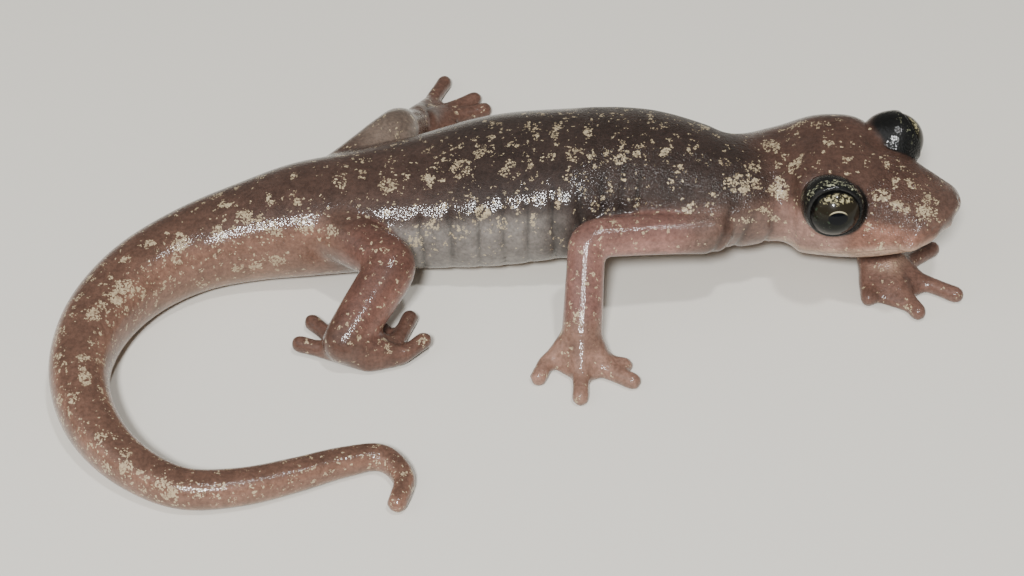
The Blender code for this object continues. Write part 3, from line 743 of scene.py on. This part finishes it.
# Cream flecks: place along the body, turn round it from the right side with 90 at the crest, length, breadth.
# Those low on the right side are repeated on the left, a little further back.
mainFlecks = {
    "head": ((9.9, 107, 1.0, 0.5), (10.9, 112, 0.8, 0.5), (8.9, 85, 0.7, 0.5), (7.2, 79, 0.6, 0.6),
             (12.6, 91, 1.2, 1.2), (12.0, 75, 0.6, 0.5), (10.7, 65, 0.9, 0.6), (11.6, 61, 0.8, 0.7),
             (13.2, 44, 1.9, 1.4), (14.5, 70, 0.9, 0.8), (15.1, 52, 1.8, 1.3), (14.4, 22, 0.6, 0.8),
             (14.0, 6, 0.6, 0.6), (15.0, 10, 0.6, 0.6), (5.1, 97, 0.5, 0.6), (4.0, 104, 0.9, 0.5),
             (4.0, 84, 0.5, 0.6), (3.0, 90, 1.1, 0.6), (4.1, 61, 1.3, 0.9), (2.8, 57, 1.2, 0.7),
             (1.4, 64, 1.0, 1.0), (1.8, 84, 0.6, 0.7), (4.0, 26, 0.5, 0.5)),
    "trunk": ((31.5, 81, 0.9, 1.1), (30.4, 110, 0.8, 0.8), (28.3, 100, 0.8, 0.9), (26.7, 89, 0.5, 0.9),
              (24.6, 88, 0.6, 1.1), (22.4, 75, 0.5, 0.8), (35.0, 65, 0.8, 0.9), (32.9, 69, 1.4, 1.4),
              (29.5, 66, 0.7, 0.7), (30.0, 59, 0.7, 0.7), (28.3, 60, 0.5, 1.2), (26.9, 68, 0.6, 0.6),
              (25.4, 68, 1.1, 1.0), (24.4, 65, 0.6, 0.6), (23.4, 67, 0.5, 0.7), (22.4, 61, 0.9, 0.8),
              (21.2, 68, 0.5, 0.9), (25.9, 51, 0.5, 0.5), (26.4, 34, 0.5, 1.2), (24.1, 26, 0.5, 1.0),
              (28.1, 19, 0.6, 1.1), (31.7, 31, 1.2, 1.1), (34.9, 25, 0.6, 1.1), (36.3, 9, 0.9, 1.0),
              (37.6, 66, 1.3, 1.1), (19.3, 72, 0.6, 0.9), (18.2, 58, 0.5, 0.8)),
    "tail": ((40.5, 73, 0.6, 0.7), (43.4, 95, 0.6, 0.6), (47.9, 86, 1.0, 0.8), (48.2, 111, 0.8, 0.6),
             (47.0, 59, 1.2, 1.1), (46.0, 49, 0.9, 1.0), (45.4, 39, 0.9, 1.2), (45.2, 70, 0.5, 1.0),
             (43.3, 62, 0.8, 0.6), (43.1, 36, 1.1, 1.1), (49.0, 51, 0.8, 0.9), (45.3, -2, 1.2, 1.0),
             (46.8, -6, 1.0, 0.6), (48.0, -5, 0.9, 0.5), (41.4, 30, 1.0, 0.6), (51.7, 60, 1.4, 1.2),
             (52.6, 39, 0.8, 0.9), (53.4, 84, 0.8, 0.6), (55.2, 89, 0.7, 0.7), (57.0, 54, 1.3, 1.5),
             (58.2, 57, 0.9, 1.1), (59.2, 68, 0.7, 0.6), (60.1, 75, 1.2, 1.0), (63.1, 127, 0.5, 0.9),
             (63.6, 74, 0.8, 0.8), (65.1, 79, 1.6, 0.8), (66.3, 112, 0.9, 0.9), (65.8, 139, 0.7, 0.7),
             (69.7, 115, 0.8, 0.8), (70.9, 165, 0.9, 0.9), (72.1, 138, 1.0, 1.0), (71.5, 104, 0.6, 0.5),
             (73.2, 131, 0.7, 0.5), (74.1, 124, 0.7, 1.0), (74.6, 150, 1.2, 1.1), (76.1, 142, 0.7, 0.6)),
    "leftShift": 1.1,
    "repeated": (0, 50),        # degrees between which a fleck is repeated on the left
    "edge": 0.45,               # where a fleck ends, as a share of its length and breadth
    "outside": -0.6,            # value of the field away from every fleck
}

# Share of the small flecks that show, by place.
fleckShares = {
    "all": 0.08, "trunk": 0.16, "head": 0.05, "tail": 0.04, "band": 0.22, "rearBand": 0.34, "tip": -0.3,
    "limb": 0.2, "paw": 0.1,
    "trunkSide": (-0.4, 0.1), "bandSide": ((-0.3, 0.15), (1.0, 0.8)),
    "rear": (50.0, 60.0), "tipSpan": (92.0, 98.0),
}

# Where the skin's relief is deeper, so that the light spreads: the shoulder and before the eye.
roughPlaces = {
    "shoulder": ((26.0, 24.0), (12.0, 15.0)), "above": (0.2, 0.5),
    "lore": ((0.8, 1.6), (5.4, 4.6)),
}

# The dark lids: distances from the eye's centre, degrees past the opening and round it.
lidPaint = {
    "dark": ((2.28, 2.04), (75.0, 60.0)),
    # edge, highlightReach and lower place a painted highlight along the lower lid's rim
    "edge": (11.0, 3.0), "highlightReach": (2.4, 2.2), "lower": ((-10.0, -50.0), (-185.0, -150.0)),
    "upper": ((-5.0, 45.0), (190.0, 135.0)), "speckBand": ((2.0, 8.0), (30.0, 18.0)),
    "specks": {1: 0.3, -1: 1.0},                       # fewer on the left eye
}


def layFlecks(along, across, height):
    s = mainFlecks
    turn = np.degrees(np.arctan2(height, -across))
    field = np.full(len(along), s["outside"])
    low, high = s["repeated"]
    for part in ("head", "trunk", "tail"):
        for k, (place, angle, length, breadth) in enumerate(s[part]):
            spots = [(place, angle)]
            if low < angle < high:
                spots.append((place + s["leftShift"] * (1 + 0.5 * math.sin(5 * k)), 180 - angle))
            row = bodyRowsAt([place])[0]
            radius = 0.5 * (row[3] + row[4])
            for spot, facing in spots:
                aside = np.radians((turn - facing + 180.0) % 360.0 - 180.0) * radius
                reach = np.sqrt(((along - spot) / length) ** 2 + (aside / breadth) ** 2)
                field = np.maximum(field, math.sqrt(length * breadth) * (s["edge"] - reach))
    return field


def shareFlecks(along, height, head):
    s = fleckShares
    band = s["band"] + s["rearBand"] * softStep(*s["rear"], along)
    share = s["all"] + s["head"] * head + s["tip"] * softStep(*s["tipSpan"], along)
    share += s["trunk"] * within(along, *trunkSpan) * softStep(*s["trunkSide"], height)
    return share + within(along, *tailSpan) * (s["tail"] + band * within(height, *s["bandSide"]))


def roughen(points, along, height, head):
    s = roughPlaces
    forward = headPlace(points)[0]
    shoulder = within(along, *s["shoulder"]) * softStep(*s["above"], height)
    return np.maximum(shoulder, head * within(forward, *s["lore"]))


def paint(tint, name, mask):
    tint += (tone(skinTints[name]) - tint) * np.clip(mask, 0.0, 1.0)[:, None]


def paintBody(tint, along, height):
    for name, lengthwise, upward in bodyTints:
        paint(tint, name, within(along, *lengthwise) * within(height, *upward))
    s = tailSide
    atRoot = softStep(*s["root"], along)
    start, end = (edge - drop * atRoot for edge, drop in s["edge"])
    paint(tint, "tailSide", within(along, *s["span"]) * softStep(start, end, height))
    paint(tint, "tailUnder", within(along, *tailSpan) * softStep(*s["under"], height))


def paintHead(tint, points, head):
    forward, _, level = headPlace(points)
    for name, lengthwise, upward in headTints:
        paint(tint, name, head * within(forward, *lengthwise) * within(level, *upward))
    paint(tint, "jaw", head * softStep(*mouthShape["jawEdge"], level - mouthLevel(forward)))


def coverLimb(gap, far, paw, length):
    s = limbPaint
    start, end = s["pawStart"]
    near = softStep(length - start, length - end, far)
    outer, inner = (base + more * near for base, more in s["edge"])
    limb = softStep(outer, inner, gap) * softStep(*s["start"], far)
    palm = np.maximum(limb * softStep(length - s["palmStart"], length, far), paw)
    return limb, paw, palm


def paintLimbs(tint, normals, covers):
    bright, less = limbPaint["shade"]
    shade = bright - less * softStep(*limbPaint["shadeSpan"], normals[:, 2])
    for name, (limb, paw, palm) in covers.items():
        legTint, pawTint = limbTints[name]
        paint(tint, legTint, limb)
        paint(tint, pawTint, palm)
        tint *= (1 + (shade - 1) * limb * (1 - paw))[:, None]


def paintNostrilShade(tint, points):
    forward, left, level = headPlace(points)
    f, l, z = nostrils["place"]
    for side in (1, -1):
        distance = np.sqrt((forward - f) ** 2 + (left - l * side) ** 2 + (level - z) ** 2)
        # painted shade in each nostril pit
        paint(tint, "lid", nostrils["strength"] * hump(distance, 0.0, nostrils["radius"]))


def paintLids(tint, points):
    s = lidPaint
    dark = np.zeros(len(points))
    specks = np.zeros(len(points))
    for side in (1, -1):
        _, reach, past, turn = eyePlace(points, side)
        cover = softStep(*s["dark"][0], reach) * softStep(*s["dark"][1], past)
        paint(tint, "lid", cover)
        # painted highlight: a pale line along the lower lid's rim
        edge = hump(past, *s["edge"]) * within(turn, *s["lower"])
        paint(tint, "lidRimHighlight", edge * softStep(*s["highlightReach"], reach))
        upper = within(turn, *s["upper"]) * within(past, *s["speckBand"])
        specks = np.maximum(specks, s["specks"][side] * cover * upper)
        dark = np.maximum(dark, cover)
    return dark, specks


def paintSkin(mesh, points, normals, place, limbs, paintedCreaseShade):
    along, across, height = place
    head = within(along, *headSpan)
    covers = {name: coverLimb(*limbs[name]) for name in limbs}
    tint = np.tile(tone(skinTints["back"]), (len(points), 1))
    paintBody(tint, along, height)
    paintHead(tint, points, head)
    paintLimbs(tint, normals, covers)
    # painted shade darkens the costal grooves and neck folds
    tint *= (1 - paintedCreaseShade)[:, None]
    paintNostrilShade(tint, points)
    dark, lid = paintLids(tint, points)
    fleck = shareFlecks(along, height, head)
    patch = layFlecks(along, across, height)
    rough = roughen(points, along, height, head)
    for limb, paw, _ in covers.values():
        bare = np.maximum(limb, paw)
        fleck += (fleckShares["limb"] - fleck) * limb
        fleck += (fleckShares["paw"] - fleck) * paw
        patch += (mainFlecks["outside"] - patch) * bare
        rough *= 1 - bare
    fleck *= 1 - dark
    patch += (mainFlecks["outside"] - patch) * dark
    colours = np.column_stack((tint, np.ones(len(tint)))).astype(np.float32)
    mesh.color_attributes.new("tint", "FLOAT_COLOR", "POINT").data.foreach_set("color", colours.ravel())
    for name, values in (("fleck", fleck), ("patch", patch), ("lid", lid), ("rough", rough)):
        mesh.attributes.new(name, "FLOAT", "POINT").data.foreach_set("value", values.astype(np.float32))


def shapeSkin(mesh):
    points, normals = meshPoints(mesh)
    along, across, height = bodyPlace(points)
    limbs = {name: legPlace(points, name) for name in legShapes}
    limb = np.zeros(len(points))
    for gap, far, paw, _ in limbs.values():
        onLeg = softStep(*legSettings["foldEdge"], gap) * softStep(*legSettings["foldStart"], far)
        limb = np.maximum(limb, np.maximum(onLeg, paw))
    paintedCreaseShade = shapeBody(points, normals, along, height, limb)
    shapeHead(points, normals, along)
    shapeLids(points)
    points[:, 2] = np.maximum(points[:, 2], 0.0)
    putPoints(mesh, points)
    paintSkin(mesh, points, normals, (along, across, height), limbs, paintedCreaseShade)


def finishPiece(name, bm, material, slot, *nodes):
    bmesh.ops.scale(bm, vec=(mm, mm, mm), verts=bm.verts)
    bmesh.ops.translate(bm, vec=originShift * mm, verts=bm.verts)
    mesh = bpy.data.meshes.new(name)
    bm.to_mesh(mesh)
    bm.free()
    mesh.shade_smooth()
    mesh.materials.append(material)
    piece = bpy.data.objects.new(name, mesh)
    bpy.context.scene.collection.objects.link(piece)
    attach(piece, "root")
    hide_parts(*nodes)


def newMaterial(name):
    material = bpy.data.materials.new(name)
    material.use_nodes = True
    return material, material.node_tree.nodes["Principled BSDF"]


# Short ways to add shader nodes: a value that is a socket is linked, any other is set on the input.
def addNode(tree, kind, values, **settings):
    node = tree.nodes.new("ShaderNode" + kind)
    for key, value in settings.items():
        setattr(node, key, value)
    for key, value in values.items():
        if isinstance(value, bpy.types.NodeSocket):
            tree.links.new(value, node.inputs[key])
        else:
            node.inputs[key].default_value = value
    return node


def calc(tree, operation, first, second=0.0):
    return addNode(tree, "Math", {0: first, 1: second}, operation=operation).outputs[0]


def calcVector(tree, operation, values):
    return addNode(tree, "VectorMath", values, operation=operation).outputs[0]


def between(tree, value, low, high, start=0.0, end=1.0):
    values = {"Value": value, "From Min": low, "From Max": high, "To Min": start, "To Max": end}
    return addNode(tree, "MapRange", values, interpolation_type="SMOOTHSTEP").outputs["Result"]


def blend(tree, share, first, second, kind="MIX"):
    node = addNode(tree, "Mix", {0: share, 6: first, 7: second}, data_type="RGBA", blend_type=kind)
    return node.outputs[2]


def attribute(tree, name, socket):
    return addNode(tree, "Attribute", {}, attribute_name=name).outputs[socket]


def noise(tree, place, scale, detail=3.0, roughness=0.6, socket="Fac"):
    values = {"Vector": place, "Scale": scale, "Detail": detail, "Roughness": roughness}
    return addNode(tree, "TexNoise", values).outputs[socket]


def cells(tree, place, scale):
    return addNode(tree, "TexVoronoi", {"Vector": place, "Scale": scale}).outputs


def screen(colour):
    return (*tone(colour), 1.0)


def placeInMillimetres(tree):
    place = addNode(tree, "TexCoord", {}).outputs["Object"]
    return addNode(tree, "Mapping", {"Vector": place, "Scale": (1 / mm, 1 / mm, 1 / mm)}).outputs["Vector"]


# Wet skin. Sizes of its patterns are in patterns to the millimetre.
skinFinish = {
    # scale and strength
    "mottle": (0.7, 0.2), "fineMottle": (4.2, 0.24), "mottleSpan": (0.25, 0.75),
    "warp": (1.3, 0.5), "crumb": (2.6, 0.75), "cluster": (0.5, 0.35), "fullest": 0.05,
    # least and greatest strength of the cream
    "fleckCover": (0.4, 0.9), "wearScale": 3.4, "wearSpan": (0.3, 0.6),
    # a fleck is a crowd of beads, larger at its middle
    "beadScale": 7.4, "beadShare": (-0.2, 0.16),
    "beadSize": 0.54, "beadGrowth": 1.2, "beadEdge": (0.1, -0.12),
    # small flecks: cells to the millimetre, least and greatest radius
    "spots": ((0.85, 0.08, 0.38), (1.9, 0.03, 0.16), (3.3, 0.0, 0.1)),
    "fleckPale": (204, 189, 156), "fleckDeep": (164, 145, 114), "creamScale": 0.8,
    "lidSpeck": (160, 162, 134), "lidSpeckScale": 5.5, "lidSpeckSpan": (0.62, 0.74), "lidGain": 0.12,
    "lidSpan": (0.1, 0.5),
    "grainScale": 7.5, "grainHeight": 0.014, "wrinkleScale": 1.8, "wrinkleHeight": 0.01,
    "roughest": (3.8, 5.0),                  # how much deeper grain and folds are at shoulder and cheek
    "roughness": 0.55, "specular": 0.12, "coatRoughness": 0.12, "coatBend": 1.38,
    "coat": (1.0, 0.5),                      # strength of the wet coat, and where the skin is rough
    "softness": 0.08, "softDepth": 0.0005, "softTint": (1.0, 0.6, 0.45),
}


def creamCover(tree, place):
    s = skinFinish
    scale, strength = s["warp"]
    swirl = noise(tree, place, scale, 2.0, 0.5, "Color")
    shift = calcVector(tree, "SUBTRACT", {0: swirl, 1: (0.5, 0.5, 0.5)})
    shift = calcVector(tree, "SCALE", {0: shift, "Scale": strength})
    bent = calcVector(tree, "ADD", {0: place, 1: shift})
    amount = attribute(tree, "fleck", "Fac")
    field = attribute(tree, "patch", "Fac")
    for scale, least, greatest in s["spots"]:
        spots = cells(tree, bent, scale)
        draw = addNode(tree, "SeparateColor", {"Color": spots["Color"]}).outputs
        radius = between(tree, draw["Green"], 0.0, 1.0, least, greatest)
        spot = calc(tree, "SUBTRACT", radius, calc(tree, "DIVIDE", spots["Distance"], scale))
        chosen = calc(tree, "LESS_THAN", draw["Red"], amount)
        spot = calc(tree, "SUBTRACT", spot, calc(tree, "SUBTRACT", 1.0, chosen))
        field = calc(tree, "MAXIMUM", field, spot)
    field = calc(tree, "MINIMUM", field, s["fullest"])
    for scale, strength in (s["crumb"], s["cluster"]):
        waver = calc(tree, "SUBTRACT", noise(tree, place, scale, 3.0, 0.65), 0.5)
        field = calc(tree, "ADD", field, calc(tree, "MULTIPLY", waver, strength))
    beads = cells(tree, bent, s["beadScale"])
    draw = addNode(tree, "SeparateColor", {"Color": beads["Color"]}).outputs["Blue"]
    chosen = calc(tree, "LESS_THAN", draw, between(tree, field, *s["beadShare"]))
    size = calc(tree, "ADD", calc(tree, "MULTIPLY", field, s["beadGrowth"]), s["beadSize"])
    bead = between(tree, calc(tree, "SUBTRACT", beads["Distance"], size), *s["beadEdge"])
    return calc(tree, "MULTIPLY", bead, chosen)


def makeSkinMaterial():
    s = skinFinish
    material, shader = newMaterial("wetSkin")
    tree = material.node_tree
    place = placeInMillimetres(tree)
    colour = attribute(tree, "tint", "Color")
    for scale, strength in (s["mottle"], s["fineMottle"]):
        shade = between(tree, noise(tree, place, scale), *s["mottleSpan"], 1 - strength, 1 + strength)
        shade = addNode(tree, "CombineColor", {"Red": shade, "Green": shade, "Blue": shade}).outputs[0]
        colour = blend(tree, 1.0, colour, shade, "MULTIPLY")
    cream = noise(tree, place, s["creamScale"], 2.0, 0.5)
    cream = blend(tree, cream, screen(s["fleckDeep"]), screen(s["fleckPale"]))
    worn = between(tree, noise(tree, place, s["wearScale"]), *s["wearSpan"], *s["fleckCover"])
    colour = blend(tree, calc(tree, "MULTIPLY", creamCover(tree, place), worn), colour, cream)
    lid = attribute(tree, "lid", "Fac")
    specks = calc(tree, "MULTIPLY", lid, s["lidGain"])
    specks = calc(tree, "ADD", noise(tree, place, s["lidSpeckScale"]), specks)
    specks = between(tree, specks, *s["lidSpeckSpan"])
    specks = calc(tree, "MULTIPLY", specks, between(tree, lid, *s["lidSpan"]))
    colour = blend(tree, specks, colour, screen(s["lidSpeck"]))
    tree.links.new(colour, shader.inputs["Base Color"])
    rough = attribute(tree, "rough", "Fac")
    moreGrain, moreFolds = (between(tree, rough, 0.0, 1.0, 1.0, most) for most in s["roughest"])
    grain = calc(tree, "MULTIPLY", cells(tree, place, s["grainScale"])["Distance"], moreGrain)
    folds = calc(tree, "MULTIPLY", noise(tree, place, s["wrinkleScale"]), moreFolds)
    values = {"Strength": 1.0, "Distance": s["grainHeight"] * mm, "Height": grain}
    bump = addNode(tree, "Bump", values, invert=True).outputs["Normal"]
    values = {"Strength": 1.0, "Distance": s["wrinkleHeight"] * mm, "Height": folds, "Normal": bump}
    bump = addNode(tree, "Bump", values).outputs["Normal"]
    tree.links.new(bump, shader.inputs["Normal"])
    tree.links.new(bump, shader.inputs["Coat Normal"])
    tree.links.new(between(tree, rough, 0.0, 1.0, *s["coat"]), shader.inputs["Coat Weight"])
    shader.inputs["Roughness"].default_value = s["roughness"]
    shader.inputs["Specular IOR Level"].default_value = s["specular"]
    shader.inputs["Coat IOR"].default_value = s["coatBend"]
    shader.inputs["Coat Roughness"].default_value = s["coatRoughness"]
    shader.inputs["Subsurface Weight"].default_value = s["softness"]
    shader.inputs["Subsurface Radius"].default_value = s["softTint"]
    shader.inputs["Subsurface Scale"].default_value = s["softDepth"]
    return material


# Wet eye. Sizes are millimetres across the eyeball, seen from where it looks.
eyeFinish = {
    "pupil": (0.61, 0.44), "pupilEdge": (1.06, 0.92),
    # the rim values draw a pale arc over the pupil: the iris's pale rim, brightened as a painted highlight
    "rimWidth": 0.1, "rimEdge": (1.0, 0.9), "rimTop": (0.15, 0.4), "rimStrength": 0.7,
    "irisRadius": 1.46, "irisEdge": 0.12, "lowerSpan": (-0.6, 0.5),
    "pupilTint": (5, 7, 12), "ringTint": (5, 5, 5), "irisTint": (36, 32, 24), "lowerTint": (14, 17, 14),
    "goldTint": (164, 156, 120), "rimAndHighlightTint": (214, 204, 168), "greenTint": (46, 56, 44),
    "goldScale": 4.2, "goldLow": 0.48, "goldEdge": 0.08, "goldBand": (0.4, 1.05), "goldNeed": 0.3,
    "greenScale": 3.36, "greenSpan": (0.6, 0.66), "greenSide": (0.0, -0.6),
    "roughness": 0.3, "specular": 0.06, "coatRoughness": 0.03, "coatBend": 1.22,
}


def ellipse(tree, across, upward, halfWidth, halfHeight):
    a = calc(tree, "DIVIDE", across, halfWidth)
    b = calc(tree, "DIVIDE", upward, halfHeight)
    return calc(tree, "SQRT", calc(tree, "ADD", calc(tree, "MULTIPLY", a, a), calc(tree, "MULTIPLY", b, b)))


def makeEyeMaterial():
    s = eyeFinish
    material, shader = newMaterial("wetEye")
    tree = material.node_tree
    gaze = attribute(tree, "gaze", "Vector")
    across, upward, outward = addNode(tree, "SeparateXYZ", {"Vector": gaze}).outputs
    specks = noise(tree, gaze, s["goldScale"], 4.0, 0.7)
    need = between(tree, upward, *s["goldBand"], s["goldNeed"], 0.0)      # gold crowds towards the top
    gold = calc(tree, "SUBTRACT", calc(tree, "SUBTRACT", specks, s["goldLow"]), need)
    above = between(tree, upward, *s["lowerSpan"])
    colour = blend(tree, above, screen(s["lowerTint"]), screen(s["irisTint"]))
    green = between(tree, noise(tree, gaze, s["greenScale"]), *s["greenSpan"])
    green = calc(tree, "MULTIPLY", green, between(tree, across, *s["greenSide"]))
    colour = blend(tree, green, colour, screen(s["greenTint"]))
    colour = blend(tree, between(tree, gold, 0.0, s["goldEdge"]), colour, screen(s["goldTint"]))
    # A pale arc over the pupil: the iris's pale rim together with a painted highlight.
    rim = ellipse(tree, across, upward, s["pupil"][0] + s["rimWidth"] * 0.5, s["pupil"][1] + s["rimWidth"])
    rimAndHighlightArc = calc(tree, "MULTIPLY", between(tree, rim, *s["rimEdge"]), between(tree, upward, *s["rimTop"]))
    colour = blend(tree, calc(tree, "MULTIPLY", rimAndHighlightArc, s["rimStrength"]), colour, screen(s["rimAndHighlightTint"]))
    pupil = between(tree, ellipse(tree, across, upward, *s["pupil"]), *s["pupilEdge"])
    colour = blend(tree, pupil, colour, screen(s["pupilTint"]))
    radius = ellipse(tree, across, upward, 1.0, 1.0)
    ring = between(tree, radius, s["irisRadius"] - s["irisEdge"], s["irisRadius"])
    behind = calc(tree, "LESS_THAN", outward, 0.0)
    colour = blend(tree, calc(tree, "MAXIMUM", ring, behind), colour, screen(s["ringTint"]))
    tree.links.new(colour, shader.inputs["Base Color"])
    shader.inputs["Roughness"].default_value = s["roughness"]
    shader.inputs["Specular IOR Level"].default_value = s["specular"]
    shader.inputs["Coat Weight"].default_value = 1.0
    shader.inputs["Coat Roughness"].default_value = s["coatRoughness"]
    shader.inputs["Coat IOR"].default_value = s["coatBend"]
    return material


def buildEyeball(side):
    bm = bmesh.new()
    bmesh.ops.create_uvsphere(bm, u_segments=64, v_segments=40, radius=eyeShape["radius"])
    out = outwardFrom(side, eyeShape["gazeForward"], eyeShape["gazeUp"])
    turn = out.to_track_quat("Z", "Y").to_matrix()
    up = (Vector((0, 0, 1)) - out * out.z).normalized()
    across = up.cross(out)
    bmesh.ops.rotate(bm, cent=(0, 0, 0), matrix=turn, verts=bm.verts)
    gaze = bm.verts.layers.float_vector.new("gaze")
    for vert in bm.verts:
        vert[gaze] = (vert.co.dot(across), vert.co.dot(up), vert.co.dot(out))
    bmesh.ops.translate(bm, vec=eyeCentre(side), verts=bm.verts)
    return bm


forms = [buildTrunk(), buildHeadForms()]
for shape in legShapes.values():
    forms.append(buildLeg(shape))
print("forms built")
fused = fuseSkin(joinForms(forms))
print("fused skin has", len(fused.vertices), "points")
refineSkin(fused)
shapeSkin(fused)
print("shaped skin has", len(fused.vertices), "points")

bm = bmesh.new()
bm.from_mesh(fused)
bmesh.ops.triangulate(bm, faces=[face for face in bm.faces if len(face.verts) > 4])
print("skin triangles", sum(len(face.verts) - 2 for face in bm.faces))
flesh = [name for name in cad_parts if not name.startswith("eye_")]
finishPiece("skin", bm, makeSkinMaterial(), "back_skin", *flesh)

eyeMaterial = makeEyeMaterial()
for side, name in ((1, "eye_left"), (-1, "eye_right")):
    finishPiece(name + "_ball", buildEyeball(side), eyeMaterial, "eye", name)

cameraShape = {
    "distance": 150.0, "elevation": 42.0, "sensor": 36.0,
    "focalPixels": 2325.0, "imageWidth": 1024,      # focal length and width of the picture in pixels
}


def placeCamera():
    up = math.radians(cameraShape["elevation"])
    data = bpy.data.cameras.new("camera")
    data.sensor_width = cameraShape["sensor"]
    data.lens = cameraShape["focalPixels"] / cameraShape["imageWidth"] * cameraShape["sensor"]
    data.clip_start = 0.001
    camera = bpy.data.objects.new("camera", data)
    bpy.context.scene.collection.objects.link(camera)
    away = Vector((0, -math.cos(up), math.sin(up)))
    camera.location = originShift * mm + away * cameraShape["distance"] * mm
    camera.rotation_euler = (math.pi / 2 - up, 0, 0)
    bpy.context.scene.camera = camera


lightSettings = {
    # name: degrees round from the camera's side, elevation, distance, size, power
    "key": (-8.0, 45.0, 400.0, 54.0, 2.0),
    "top": (38.0, 75.0, 420.0, 32.0, 0.6),
    "fill": (-70.0, 40.0, 450.0, 400.0, 0.3),
    "worldColour": (1.0, 0.95, 0.87, 1.0), "worldStrength": 0.2,
}
floorFinish = {"halfSize": 1.2, "colour": (0.76, 0.735, 0.665, 1.0), "roughness": 0.8}      # size in metres


def addAreaLight(name, turn, elevation, distance, size, power):
    data = bpy.data.lights.new(name, "AREA")
    data.shape = "DISK"
    data.size = size * mm
    data.energy = power
    lamp = bpy.data.objects.new(name, data)
    bpy.context.scene.collection.objects.link(lamp)
    a, e = math.radians(turn), math.radians(elevation)
    away = Vector((math.sin(a) * math.cos(e), -math.cos(a) * math.cos(e), math.sin(e)))
    lamp.location = away * distance * mm
    lamp.rotation_euler = away.to_track_quat("Z", "Y").to_euler()


def setStage():
    bm = bmesh.new()
    bmesh.ops.create_grid(bm, x_segments=2, y_segments=2, size=floorFinish["halfSize"])
    mesh = bpy.data.meshes.new("floor")
    bm.to_mesh(mesh)
    bm.free()
    floor = bpy.data.objects.new("floor", mesh)
    bpy.context.scene.collection.objects.link(floor)
    material, shader = newMaterial("paleFloor")
    shader.inputs["Base Color"].default_value = floorFinish["colour"]
    shader.inputs["Roughness"].default_value = floorFinish["roughness"]
    mesh.materials.append(material)
    s = lightSettings
    for name in ("key", "top", "fill"):
        addAreaLight(name, *s[name])
    world = bpy.data.worlds.new("studio")
    world.use_nodes = True
    bpy.context.scene.world = world
    back = world.node_tree.nodes["Background"]
    back.inputs["Color"].default_value = s["worldColour"]
    back.inputs["Strength"].default_value = s["worldStrength"]


placeCamera()
setStage()
